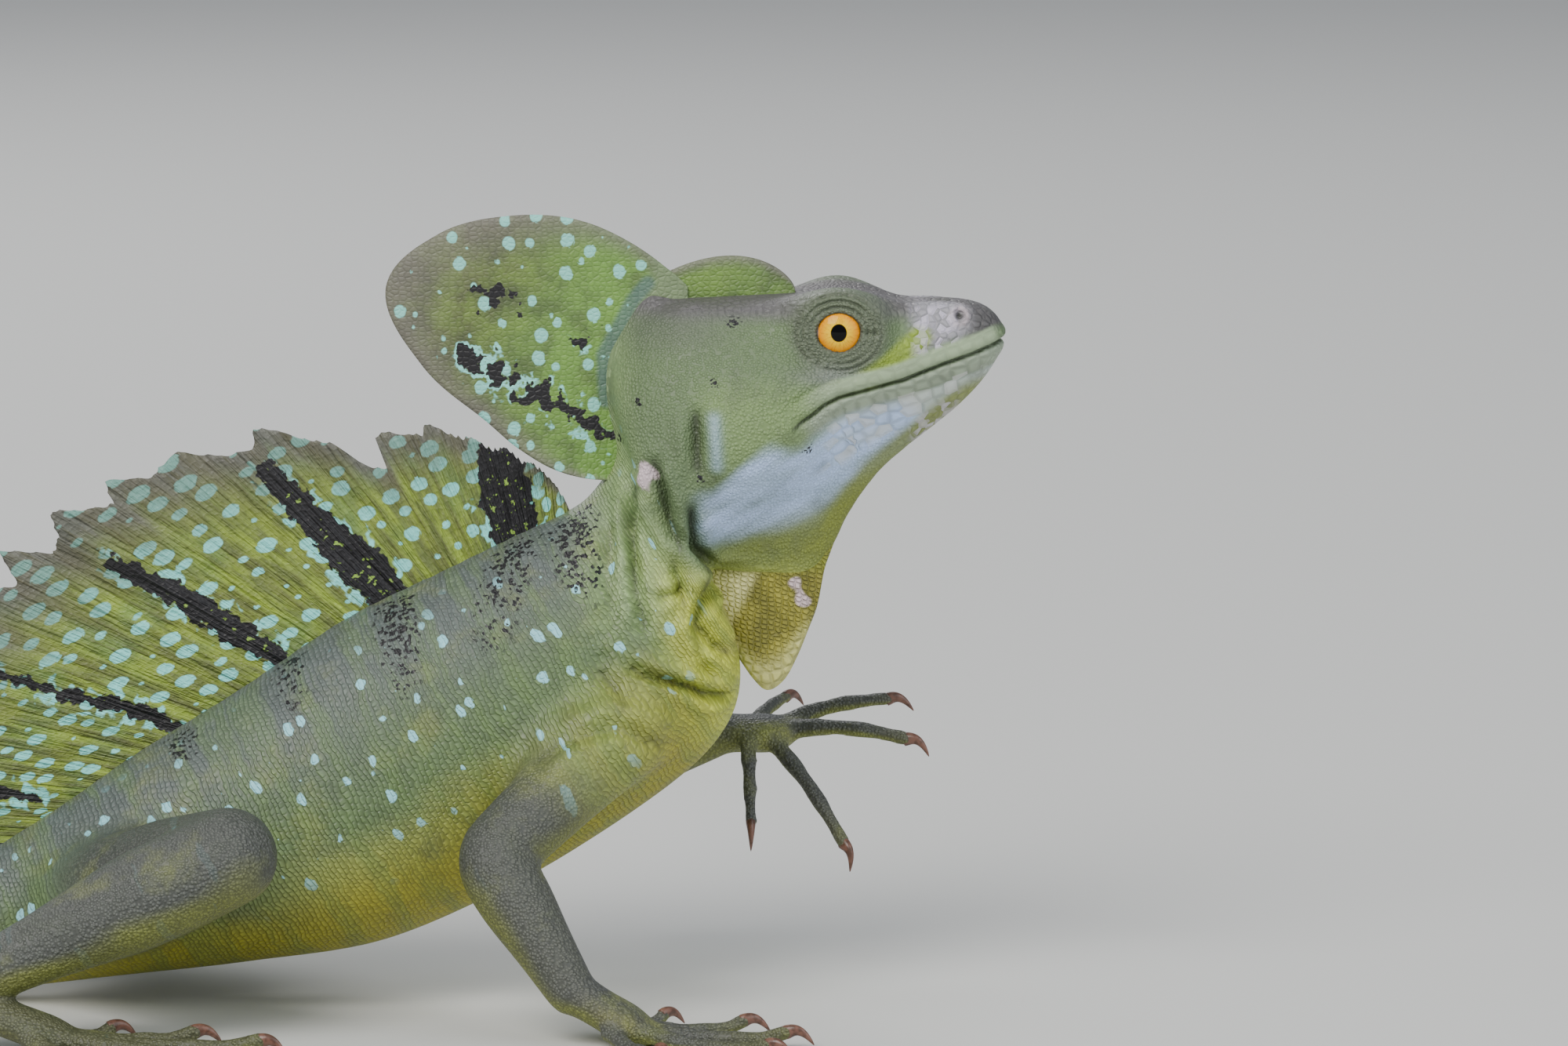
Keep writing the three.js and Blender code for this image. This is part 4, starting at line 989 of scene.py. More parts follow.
def tailCrestShape():
    # columns that lean back along the tail; the height is a sine's power that is cut into teeth, each lower
    # towards its front by its own random share
    t = np.linspace(tailCrest["from"], tailCrest["to"], tailCrest["columns"])
    share = (t - tailCrest["from"]) / (tailCrest["to"] - tailCrest["from"])
    root, side = spine(t, tailCrest["sink"])
    back = unit(np.gradient(root, axis=0) * [1, 1, 0])
    height = tailCrest["height"] * np.sin(math.pi * (0.06 + 0.9 * share)) ** 0.6 * (1 - 0.45 * share)
    rays = share * tailCrest["rays"]
    tooth = np.floor(rays / 2).astype(int)
    deep = np.random.default_rng(5).uniform(0.06, 0.2, tailCrest["rays"])[tooth]
    ripple = 0.03 * np.cos(2 * math.pi * rays)
    rise = tailCrest["sink"] + height * (0.97 - deep * (1 - rays / 2 + tooth) + ripple)
    v = np.linspace(0, 1, tailCrest["rows"])
    way = back * tailCrest["lean"] + [0, 0, 1]
    middle = root[:, None] + way[:, None] * (rise[:, None] * v)[..., None]
    sway = tailCrest["sway"] * np.sin(2 * math.pi * share * 6.3)[:, None] * v**2
    middle += side[:, None] * sway[..., None]
    half = tailCrest["web"] + tailCrest["root"] * (1 - v) ** 3
    half = half + tailCrest["rayRise"] * ridges(rays)[:, None] * (1 - 0.5 * v)
    return middle, thinned(half, v, 0.06), side[:, None], rays, rise, v


middle, half, side, rays, rise, v = tailCrestShape()
tailCrestObject, tailCrestPoints = finBody("tail_fin", middle, half, side)
setPlace(tailCrestObject, rays, rise, v)

print("building the head crests")
rearCrest = {
    "rootX": (10, 3.5), "rootZ": (110, 86), "centre": (4, 102), "angles": (69, 252), "lean": 2.2,
    "rim": [16.5, 19, 23.2, 29, 35.2, 42, 45.6, 37.4, 28.6, 24.3, 21.4, 18.8, 16.6],
    "rootHalf": 1.7, "rimHalf": 0.42, "columns": 300, "rows": 120,
}
frontCrest = {"fromX": 27.4, "toX": 1, "crown": 116.4, "rise": 6.6, "sink": 2, "y": 0.9, "rootHalf": 1.1,
              "rimHalf": 0.38, "columns": 160, "rows": 36}


def rearCrestShape():
    # straight lines from the root to a rim given by its distance from a point in the skull
    u, v = finGrid(rearCrest)
    a, b = rearCrest["angles"]
    angle = np.radians(a + (b - a) * u)
    reach = through(rearCrest["rim"], u * (len(rearCrest["rim"]) - 1))
    rimX = rearCrest["centre"][0] + reach * np.cos(angle)
    rimZ = rearCrest["centre"][1] + reach * np.sin(angle)
    rootX, rootZ = [first + (last - first) * u for first, last in (rearCrest["rootX"], rearCrest["rootZ"])]
    lean = -rearCrest["lean"] * v * smooth(u, 0.2, 0.9) + 0.5 * np.sin(7 * u + 3 * v) * v**2
    middle = np.stack(np.broadcast_arrays(rootX + (rimX - rootX) * v, lean, rootZ + (rimZ - rootZ) * v), -1)
    half = rearCrest["rootHalf"] + (rearCrest["rimHalf"] - rearCrest["rootHalf"]) * v**0.8 + 0 * u
    return middle, thinned(half, v, 0.03)


def frontCrestShape():
    # a low arch along the crown, whose height is a sine's power
    u, v = finGrid(frontCrest)
    x = frontCrest["fromX"] + (frontCrest["toX"] - frontCrest["fromX"]) * u
    rise = frontCrest["rise"] * np.sin(math.pi * u**0.8) ** 0.7
    z = frontCrest["crown"] - 0.004 * (x - 30) ** 2 - frontCrest["sink"] + (rise + frontCrest["sink"]) * v
    middle = np.stack(np.broadcast_arrays(x - 3 * v * u, frontCrest["y"] + 0.3 * np.sin(9 * u) * v, z), -1)
    half = frontCrest["rootHalf"] + (frontCrest["rimHalf"] - frontCrest["rootHalf"]) * v + 0 * u
    return middle, thinned(half, v, 0.05)


rearCrestObject, rearCrestPoints = finBody("rear_crest", *rearCrestShape())
frontCrestObject, frontCrestPoints = finBody("front_crest", *frontCrestShape())

print("building the dewlap")
dewlap = {
    "frontX": 33.8, "backX": 11, "topZ": 76, "rootHalf": 3.2, "rimHalf": 0.9, "columns": 240, "rows": 160,
    "rimX": [32, 31, 29.6, 27.6, 25.5, 22.8, 20.4, 17.2, 13],
    "rimZ": [71, 65.5, 61.6, 56.6, 52.9, 51.3, 53.2, 57.7, 62.5],
}


def dewlapShape():
    # straight lines from the throat to the rim, with soft pleats, thin in front and thickest behind
    u, v = finGrid(dewlap)
    rootX = dewlap["frontX"] + (dewlap["backX"] - dewlap["frontX"]) * u
    rim = throughPoints(dewlap, "rim", u * (len(dewlap["rimX"]) - 1))
    x = rootX + (rim[..., 0] - rootX) * v
    z = dewlap["topZ"] + (rim[..., 2] - dewlap["topZ"]) * v
    pleat = 0.5 * np.sin(2 * math.pi * (2.2 * u + 0.35 * v)) * v * (1 - 0.4 * v)
    middle = np.stack(np.broadcast_arrays(x, pleat, z), -1)
    rootHalf = dewlap["rootHalf"] * (0.25 + 0.75 * smooth(u, 0.05, 0.6))
    half = rootHalf + (dewlap["rimHalf"] - rootHalf) * v**0.7
    ends = np.clip(np.minimum(u, 1 - u) / 0.05, 0.1, 1)
    return middle, thinned(half, v, 0.05) * np.sqrt(ends)


dewlapObject, dewlapPoints = finBody("throat_flap", *dewlapShape())

print("building the eyes and claws")
eye = {"radius": 5.0, "rings": 80, "sides": 96}
claw = {"length": 4.2, "drop": 2.1, "arch": 0.5, "root": 0.78, "tip": 0.05, "rings": 26, "sides": 20}


def eyeBody(side):
    # a ball as rings round the line that looks sideways
    polar = np.linspace(0.001, math.pi - 0.001, eye["rings"])[:, None]
    a = np.linspace(0, 2 * math.pi, eye["sides"], endpoint=False)[None]
    x, y, z = np.sin(polar) * np.cos(a), side * np.cos(polar), np.sin(polar) * np.sin(a)
    ball = eye["radius"] * np.stack(np.broadcast_arrays(x, y, z), -1)
    return tube(ball + eyeCentre * [1, -side, 1])


def clawBody(way, thick):
    # round sections from the digit's tip that hook downwards and thin to a point
    ahead = unit(way[-1] - way[-2])
    if ahead[2] > 0:
        ahead = unit(ahead * [1, 1, 0])
    reach = way[-1] - way[0]
    across = unit(np.array([-reach[1], reach[0], 0.0]))
    down = np.cross(across, ahead)
    down = down if down[2] < 0 else -down
    s = np.linspace(-0.12, 1, claw["rings"])[:, None]
    hook = claw["drop"] * s**2 - claw["arch"] * np.sin(math.pi * s)
    centre = way[-1] + ahead * claw["length"] * s + down * hook
    along = unit(np.gradient(centre, axis=0))
    normal = np.cross(along, across)
    r = claw["root"] * thick[-1] * np.clip(1 - np.maximum(s, 0), 0, 1) ** 0.75 + claw["tip"]
    a = np.linspace(0, 2 * math.pi, claw["sides"], endpoint=False)[None, :, None]
    r = r[:, None]
    return tube(centre[:, None] + across * 0.8 * r * np.cos(a) + normal[:, None] * r * np.sin(a))


eyes = {"eye_right": -1, "eye_left": 1}
eyeObjects = {name: joinBodies(name + "_glass", [eyeBody(side)]) for name, side in eyes.items()}
clawBodies = [clawBody(way, thick) for limb in limbLines for way, thick in limb["digits"]]
clawObject = joinBodies("claws", clawBodies)


def tint(colour):
    return (*[float(v) for v in toLinear(colour)], 1.0)


class Finish:
    # a short way to write a material: each call adds a node or a few, and gives back their output
    def __init__(self, name):
        self.material = bpy.data.materials.new(name)
        self.material.use_nodes = True
        self.tree = self.material.node_tree
        self.tree.nodes.clear()
        self.output = self.tree.nodes.new("ShaderNodeOutputMaterial")
        self.colour = None

    def connect(self, node, inputs):
        for key, value in inputs.items():
            if isinstance(value, bpy.types.NodeSocket):
                self.tree.links.new(value, node.inputs[key])
            else:
                node.inputs[key].default_value = value

    def node(self, kind, inputs, output=0, **settings):
        node = self.tree.nodes.new(kind)
        for key, value in settings.items():
            setattr(node, key, value)
        self.connect(node, inputs)
        return node.outputs[output]

    def math(self, operation, *values):
        # a node takes two values at most, so with more of them its result meets the next one
        first, rest = values[:2], values[2:]
        result = self.node("ShaderNodeMath", dict(enumerate(first)), operation=operation)
        return self.math(operation, result, *rest) if rest else result

    def plus(self, *values):
        return self.math("ADD", *values)

    def minus(self, *values):
        return self.math("SUBTRACT", *values)

    def times(self, *values):
        return self.math("MULTIPLY", *values)

    def over(self, *values):
        return self.math("DIVIDE", *values)

    def swing(self, value, amount, middle=0.5):
        # (value - middle) amount
        return self.times(self.minus(value, middle), amount)

    def place(self, operation, *values):
        return self.node("ShaderNodeVectorMath", dict(enumerate(values)), operation=operation)

    def attribute(self, name, output="Fac"):
        return self.node("ShaderNodeAttribute", {}, output, attribute_name=name)

    def noise(self, place, scale, detail=2.0, rough=0.5, output=0):
        inputs = {"Vector": place, "Scale": scale, "Detail": detail, "Roughness": rough}
        return self.node("ShaderNodeTexNoise", inputs, output)

    def drift(self, place, scale, detail, reach):
        # a random way off for each place: (noise - 0.5) reach, in every direction
        noise = self.noise(place, scale, detail, output="Color")
        return self.place("MULTIPLY", self.place("SUBTRACT", noise, (0.5, 0.5, 0.5)), reach)

    def cells(self, place, size, loose, edges=False, flat=False, channel=0):
        # a pattern of cells: the distance to the nearest cell's middle or edge, and each cell's random number
        inputs = {"Vector": place, "Scale": 1 / size, "Randomness": loose}
        count = "2D" if flat else "3D"
        feature = "DISTANCE_TO_EDGE" if edges else "F1"
        kind = "ShaderNodeTexVoronoi"
        distance = self.node(kind, inputs, "Distance", feature=feature, voronoi_dimensions=count)
        number = self.split(self.node(kind, inputs, "Color", voronoi_dimensions=count))[channel]
        return distance, number

    def between(self, value, low, high, outLow=0.0, outHigh=1.0):
        # from outLow to outHigh while the value goes from low to high
        inputs = {"Value": value, "From Min": low, "From Max": high, "To Min": outLow, "To Max": outHigh}
        return self.node("ShaderNodeMapRange", inputs, interpolation_type="SMOOTHSTEP")

    def fading(self, value, low, high):
        return self.between(value, low, high, 1.0, 0.0)

    def window(self, value, rise, top, fall, bottom):
        return self.times(self.between(value, rise, top), self.fading(value, fall, bottom))

    def mix(self, share, a, b, blend="MIX"):
        return self.node("ShaderNodeMix", {0: share, 6: a, 7: b}, 2, data_type="RGBA", blend_type=blend)

    def blendValue(self, share, a, b):
        return self.node("ShaderNodeMix", {0: share, 2: a, 3: b}, 0, data_type="FLOAT")

    def lay(self, share, colour):
        # a share of another colour over the material's own
        self.colour = self.mix(share, self.colour, tint(colour) if isinstance(colour, tuple) else colour)

    def shade(self, grey):
        self.colour = self.mix(1.0, self.colour, self.joined(grey, grey, grey), "MULTIPLY")

    def split(self, vector):
        node = self.tree.nodes.new("ShaderNodeSeparateXYZ")
        self.tree.links.new(vector, node.inputs[0])
        return tuple(node.outputs)

    def joined(self, x, y, z=0.0):
        return self.node("ShaderNodeCombineXYZ", {0: x, 1: y, 2: z})

    def millimetres(self):
        # the object's own coordinates in the animal's millimetres
        scaled = self.place("MULTIPLY", self.node("ShaderNodeTexCoord", {}, "Object"), (1000, 1000, 1000))
        return self.place("SUBTRACT", scaled, tuple(float(v) * 1000 for v in frameShift))

    def scaleRows(self, place, long, wide):
        # overlapping scales: height rises along each row and drops at its end, every other row moved by half
        # a scale; gives the height and a number for each scale
        x, y, _ = self.split(place)
        x = self.over(x, long)
        row = self.math("FLOOR", x)
        y = self.plus(self.over(y, wide), self.times(row, 0.5))
        across = self.math("ABSOLUTE", self.minus(self.math("FRACT", y), 0.5))
        rise = self.window(self.math("FRACT", x), 0.0, 0.8, 0.78, 1.0)
        height = self.times(rise, self.between(across, 0.25, 0.5, 1.0, 0.2))
        scale = self.joined(row, self.math("FLOOR", y))
        return height, self.node("ShaderNodeTexWhiteNoise", {"Vector": scale}, "Value")

    def pebbles(self, place, long, wide, loose=0.7):
        # loose rounded scales: low at their edges and flat on top, with a number for each
        flat = self.place("DIVIDE", place, (long, wide, 1))
        edge, number = self.cells(flat, 1.0, loose, edges=True, flat=True)
        return self.between(edge, 0.0, 0.3), number

    def done(self, rough, height=None, depth=0.2, **extra):
        # the finished material; depth is the relief's in millimetres
        shader = self.tree.nodes.new("ShaderNodeBsdfPrincipled")
        self.connect(shader, {"Base Color": self.colour, "Roughness": rough, **extra})
        if height is not None:
            inputs = {"Strength": 1.0, "Distance": depth / 1000, "Height": height}
            self.connect(shader, {"Normal": self.node("ShaderNodeBump", inputs)})
        self.tree.links.new(shader.outputs[0], self.output.inputs[0])
        return self.material


print("making the materials")
skinLook = {  # sizes in mm, colours in sRGB
    "rowLength": 0.84, "rowWidth": 0.95, "granule": 0.52, "plate": 1.25, "jawLength": 2.3, "jawHeight": 1.8,
    "spotSize": 4.5, "speck": 0.55, "rough": 0.42, "relief": 0.16, "spot": (156, 220, 230),
    "black": (22, 20, 24), "mottle": (150, 158, 70), "rib": (112, 140, 74), "dull": (86, 92, 76),
    "snoutScale": (214, 206, 226), "jawScale": (208, 210, 206),
}


def skinFinish():
    # rows of scales on the body, grains on the limbs, plates on snout and crown, tall plates along the jaw:
    # the skin's attributes blend their heights and numbers, which then shade the painted colour: painted
    # shade in the scales' low parts, and a tone for each scale
    f = Finish("skin_scales")
    mm = f.millimetres()
    x, _, z = f.split(mm)
    wobble = f.drift(mm, 0.12, 0.0, (2, 2, 2))
    rows = f.place("ADD", f.attribute("rows", "Vector"), wobble)
    rows = f.place("ADD", rows, f.drift(mm, 0.55, 1.0, (1.1, 1.1, 0)))
    rowHeight, rowNumber = f.scaleRows(rows, skinLook["rowLength"], skinLook["rowWidth"])
    grain, number = f.cells(mm, skinLook["granule"], 0.9)
    height = f.fading(grain, 0.15, 0.75)
    plate, plateNumber = f.cells(mm, skinLook["plate"], 0.85, edges=True)
    jaw = f.place("ADD", f.attribute("jaw", "Vector"), f.place("MULTIPLY", wobble, (0.5, 0.3, 0)))
    s, d, _ = f.split(jaw)
    jaw = f.joined(f.over(s, skinLook["jawLength"]), f.over(f.plus(d, 0.9), skinLook["jawHeight"]))
    jaw, jawNumber = f.cells(jaw, 1.0, 0.5, edges=True, flat=True)
    jaw = f.between(jaw, 0.0, 0.32)
    jaw = f.blendValue(f.between(d, 0.0, 0.6), jaw, f.between(jaw, 0.0, 1.0, 0.55, 1.0))
    rowShare, plateShare, jawShare = [f.attribute(name) for name in ("rowShare", "plateShare", "jawShare")]
    kinds = ((rowShare, rowHeight, rowNumber), (plateShare, f.between(plate, 0.0, 0.3), plateNumber),
             (jawShare, jaw, jawNumber))
    for share, kindHeight, kindNumber in kinds:
        height, number = f.blendValue(share, height, kindHeight), f.blendValue(share, number, kindNumber)
    f.colour = f.attribute("paint", "Color")
    bare = f.minus(1.0, f.attribute("headShare"))
    f.lay(f.times(f.between(f.noise(mm, 0.09, 4.0, 0.6), 0.5, 0.72, 0.0, 0.35), bare), skinLook["mottle"])
    ribs = f.noise(f.place("MULTIPLY", rows, (0.24, 0.035, 0)), 1.0, 3.0, 0.6)
    f.lay(f.times(rowShare, bare, f.between(ribs, 0.46, 0.62, 0.0, 0.35)), skinLook["rib"])
    f.lay(f.between(f.noise(mm, 0.16, 3.0), 0.52, 0.75, 0.0, 0.3), skinLook["dull"])
    # painted shade: the low parts of every scale darker, as shade between the scales; the random number gives
    # each scale its own tone
    shade = f.plus(f.swing(height, 0.4, 0.6), f.swing(number, 0.22))
    f.shade(f.plus(0.95, f.times(shade, f.attribute("contrast"))))
    ahead = f.times(f.window(x, 45.0, 48.0, 51.5, 55.0), f.between(z, 114.2, 115.4, 1.0, 0.2))
    f.lay(f.times(plateShare, f.between(plateNumber, 0.35, 0.8, 0.0, 0.6), ahead), skinLook["snoutScale"])
    pale = f.times(jawShare, f.between(jawNumber, 0.6, 0.75, 0.0, 0.6))
    f.lay(f.times(pale, f.fading(d, -2.6, -2.4)), skinLook["jawScale"])
    spotPlace = f.place("MULTIPLY", rows, (1.0, 0.8, 0))
    spots, chosen = f.cells(spotPlace, skinLook["spotSize"], 0.9, flat=True, channel=1)
    inside = f.minus(f.between(chosen, 0.2, 1.0, 0.0, 0.2), f.plus(spots, f.swing(rowNumber, 0.05)))
    f.lay(f.times(f.between(inside, -0.01, 0.03), f.attribute("spotty"), 0.9), skinLook["spot"])
    fleck = f.attribute("fleck")
    _, speck = f.cells(mm, skinLook["speck"], 1.0)
    black = f.minus(f.plus(f.times(fleck, 0.92), f.times(f.noise(mm, 0.5, 1.0), 0.3)), speck)
    f.lay(f.times(f.between(black, 0.12, 0.2), f.between(fleck, 0.06, 0.2)), skinLook["black"])
    return f.done(f.plus(skinLook["rough"], f.times(number, 0.16)), height, skinLook["relief"])


finLook = {
    "yellow": (144, 166, 58), "olive": (102, 114, 56), "green": (98, 132, 76), "rim": (92, 88, 88),
    # crease is painted shade along the creases
    "spot": (138, 226, 220), "dimSpot": (112, 158, 146), "lime": (140, 176, 70), "crease": (78, 76, 42),
    "web": (84, 78, 44), "spotsAcross": 1.25, "spotAlong": 3.9, "scale": (1.15, 0.8), "relief": 0.4,
}
bars = {  # the sail's black bars: a line in X and Z from rim to root, and half widths along it
    "shoulder": ([(-20.8, 90.6), (-19.6, 83), (-17.7, 75.4)], (3.2, 4.3, 3.2)),
    "back": ([(-58.6, 87.6), (-50, 78), (-43, 71.5), (-37.9, 66)], (1.5, 2.4, 3.7, 2.8)),
    "loin": ([(-83.6, 72.3), (-72, 66.5), (-63, 60.5), (-56.4, 56.6)], (1.2, 1.9, 2.2, 1.3)),
    "hip": ([(-104, 54.4), (-90, 50.2), (-82, 48.6), (-73.3, 45.2)], (0.6, 0.8, 1.1, 0.7)),
    "rump": ([(-121, 37.6), (-108, 36), (-97, 33.4)], (0.5, 0.8, 0.6)),
}


def fromBar(points, line, halves):
    # distance in the X-Z plane to the edge of a bar, below 0 inside it
    d, s = nearestStrip(points, line)
    return d - np.interp(s, lengthAlong(line), halves)


def finFinish(name, barShare):
    # skin streaked along its rays, with small loose scales, pale spots between the rays and ragged black bars
    f = Finish(name)
    mm = f.millimetres()
    ray, high, v = f.split(f.attribute("place", "Vector"))

    def streaks(across, along, scale, detail, rough):
        return f.noise(f.joined(f.times(ray, across), f.times(high, along)), scale, detail, rough)

    streak, crease = streaks(3.2, 0.09, 1.0, 3.0, 0.6), streaks(7.5, 0.07, 1.0, 2.0, 0.6)
    f.colour = f.mix(f.between(streak, 0.35, 0.65), tint(finLook["olive"]), tint(finLook["yellow"]))
    f.lay(f.between(f.noise(mm, 0.08, 2.0), 0.45, 0.7, 0.0, 0.7), finLook["green"])
    edge = f.plus(v, f.swing(streak, 0.5))
    f.lay(f.between(edge, 0.6, 0.98, 0.0, 0.9), finLook["rim"])
    # painted shade: darker along the creases, which the relief also sinks
    f.lay(f.between(crease, 0.5, 0.68, 0.0, 0.5), finLook["crease"])
    f.lay(f.between(f.math("COSINE", f.times(ray, 2 * math.pi)), -1.0, 0.2, 0.28, 0.0), finLook["web"])
    scaleHeight, number = f.pebbles(f.joined(high, f.times(ray, 5.1)), *finLook["scale"])
    # painted shade: the low parts of every scale darker; the random number gives each scale its own tone
    f.shade(f.plus(f.times(scaleHeight, 0.08), 0.86, f.times(number, 0.14)))
    grid = f.joined(f.times(ray, finLook["spotsAcross"]), f.over(high, finLook["spotAlong"]))
    spots, chosen = f.cells(grid, 1.0, 0.5, flat=True)
    inside = f.minus(f.between(chosen, 0.0, 0.7, 0.08, 0.31), f.plus(spots, f.swing(number, 0.07)))
    pale = f.mix(f.between(edge, 0.45, 0.85), tint(finLook["spot"]), tint(finLook["dimSpot"]))
    f.lay(f.times(f.between(inside, -0.015, 0.04), 0.92), pale)
    bar = f.plus(f.attribute("bar"), f.swing(f.noise(mm, 0.55, 2.0), 3.4), f.swing(number, 0.5))
    patchy = f.between(f.noise(mm, 0.34, 1.0), 0.5, 0.56)
    f.lay(f.times(f.window(bar, 0.1, 0.35, 1.1, 1.8), patchy, barShare), pale)
    inner = f.times(f.fading(bar, -1.6, -0.9), f.between(streaks(2.2, 0.4, 1.6, 2.0, 0.7), 0.6, 0.66))
    ink = f.mix(inner, tint(skinLook["black"]), tint(finLook["lime"]))
    f.lay(f.times(f.fading(bar, 0.0, 0.25), barShare), ink)
    streaked = f.plus(f.times(streak, 2.0), f.times(crease, -2.6))
    height = f.plus(f.times(scaleHeight, 0.16), f.noise(mm, 0.35, 3.0), streaked)
    return f.done(0.5, height, finLook["relief"])


crestLook = {
    "spotSize": 4.4, "olive": (74, 82, 54), "light": (108, 128, 62), "dull": (90, 92, 62),
    "green": (114, 158, 70), "rim": (116, 110, 104), "band": (84, 112, 106), "head": (118, 136, 98),
    "spot": (140, 216, 204), "line": (140, 218, 208), "scale": (1.05, 0.8), "relief": 0.07,
}
crestMarks = {
    "bar": ([(-26.2, 106.8), (-21, 103.4), (-14, 99.6), (-8, 96.8), (-2.2, 93.2)], (1.4, 1.9, 1.5, 1.2, 1.0)),
    "dots": [(-21.5, 116.3, 2.5), (-17.4, 115.9, 1.7), (-6.6, 109, 1.6)],
    "band": [(3.4, 118), (1, 115.2), (-1.9, 109.8), (-3.8, 106.4), (-3.4, 99)],
    "headX": [1, -3.4, -3.8, -1.9, 1, 3.4], "headZ": [86, 99, 106.4, 109.8, 115.2, 118],
}


def crestMarksAt(points):
    # distances to the edge of the black marks, to the blue band, and back from the skull's edge
    x, z = points[:, 0], points[:, 2]
    edge = fromBar(points, *crestMarks["bar"])
    for dotX, dotZ, r in crestMarks["dots"]:
        edge = np.minimum(edge, np.hypot(x - dotX, z - dotZ) - r + 0.3)
    band, _ = nearestStrip(points, crestMarks["band"])
    return {"bar": edge, "band": band, "fromHead": x - np.interp(z, crestMarks["headZ"], crestMarks["headX"])}


def crestFinish():
    # mottled skin with small loose scales, pale spots, ragged black marks and a thin pale line round them
    f = Finish("crest_scales")
    mm = f.millimetres()
    x, _, z = f.split(mm)
    flat = f.joined(x, z)
    fromHead = f.attribute("fromHead")
    mottle = f.noise(mm, 0.12, 4.0, 0.6)
    f.colour = f.mix(f.between(mottle, 0.38, 0.66), tint(crestLook["olive"]), tint(crestLook["light"]))
    f.lay(f.between(f.noise(mm, 0.4, 3.0, 0.6), 0.48, 0.66, 0.0, 0.5), crestLook["dull"])
    greener = f.times(f.between(fromHead, -26.0, -4.0, 0.0, 0.8), f.between(mottle, 0.36, 0.52, 0.5, 1.0))
    f.lay(greener, crestLook["green"])
    f.lay(f.between(f.attribute("rimNear"), 0.72, 1.0, 0.0, 0.7), crestLook["rim"])
    f.lay(f.between(fromHead, -1.0, 2.5), crestLook["head"])
    f.lay(f.between(f.attribute("band"), 0.6, 1.7, 0.75, 0.0), crestLook["band"])
    height, number = f.pebbles(flat, *crestLook["scale"])
    # painted shade: the low parts of every scale darker; the random number gives each scale its own tone
    f.shade(f.plus(f.times(height, 0.12), 0.82, f.times(number, 0.18)))
    spots, chosen = f.cells(f.place("MULTIPLY", flat, (1.0, 0.9, 0)), crestLook["spotSize"], 0.9, flat=True)
    inside = f.minus(f.between(chosen, 0.0, 0.9, 0.05, 0.25), f.plus(spots, f.swing(number, 0.06)))
    spot = f.times(f.between(inside, -0.015, 0.035), f.between(fromHead, 0.0, 2.0, 0.9, 0.0))
    f.lay(f.times(spot, f.attribute("spotShare")), crestLook["spot"])
    bar = f.plus(f.attribute("bar"), f.swing(f.noise(mm, 0.5, 2.0), 12.0, 0.45), f.swing(number, 0.5))
    patchy = f.times(f.between(f.noise(mm, 0.3, 1.0), 0.48, 0.55), f.fading(z, 108.0, 110.0))
    f.lay(f.times(f.window(bar, 0.1, 0.4, 1.1, 1.9), patchy), crestLook["line"])
    f.lay(f.fading(bar, 0.0, 0.25), skinLook["black"])
    return f.done(0.5, f.plus(height, f.noise(mm, 0.7, 3.0)), crestLook["relief"])


dewlapLook = {
    "olive": (124, 120, 48), "yellow": (158, 152, 62), "bead": (190, 188, 112), "web": (236, 232, 158),
    "pink": (218, 196, 198), "throat": (138, 142, 52), "beadSize": 1.7, "scale": (0.8, 1.1), "relief": 0.3,
    "patchX": 28.2, "patchZ": 67.6,
}


def dewlapFinish():
    # loose scales across the flap and larger beads along its rim
    f = Finish("throat_flap_scales")
    mm = f.millimetres()
    x, _, z = f.split(mm)
    bead = f.attribute("bead")
    beads, beadNumber = f.cells(mm, dewlapLook["beadSize"], 0.7, edges=True)
    rowHeight, rowNumber = f.pebbles(f.joined(f.plus(z, f.times(x, 0.25)), x), *dewlapLook["scale"], 0.55)
    height = f.blendValue(bead, rowHeight, f.between(beads, 0.0, 0.3))
    number = f.blendValue(bead, rowNumber, beadNumber)
    mottle = f.between(f.noise(mm, 0.16, 3.0), 0.4, 0.62)
    f.colour = f.mix(mottle, tint(dewlapLook["olive"]), tint(dewlapLook["yellow"]))
    f.lay(bead, dewlapLook["bead"])
    f.lay(f.attribute("web"), dewlapLook["web"])
    f.lay(f.attribute("pinkPatch"), dewlapLook["pink"])
    f.lay(f.attribute("throatTop"), dewlapLook["throat"])
    # painted shade: the low parts of every scale and bead darker; the random number gives each its own tone
    f.shade(f.plus(f.times(height, 0.22), 0.76, f.times(number, 0.2)))
    return f.done(0.5, height, dewlapLook["relief"])


eyeLook = {
    "inner": (255, 204, 10), "outer": (242, 154, 6), "streak": (190, 100, 10), "ring": (92, 56, 20),
    "corner": (196, 196, 206), "pupil": (8, 7, 8), "pupilSize": 1.45, "irisSize": 3.15,
}


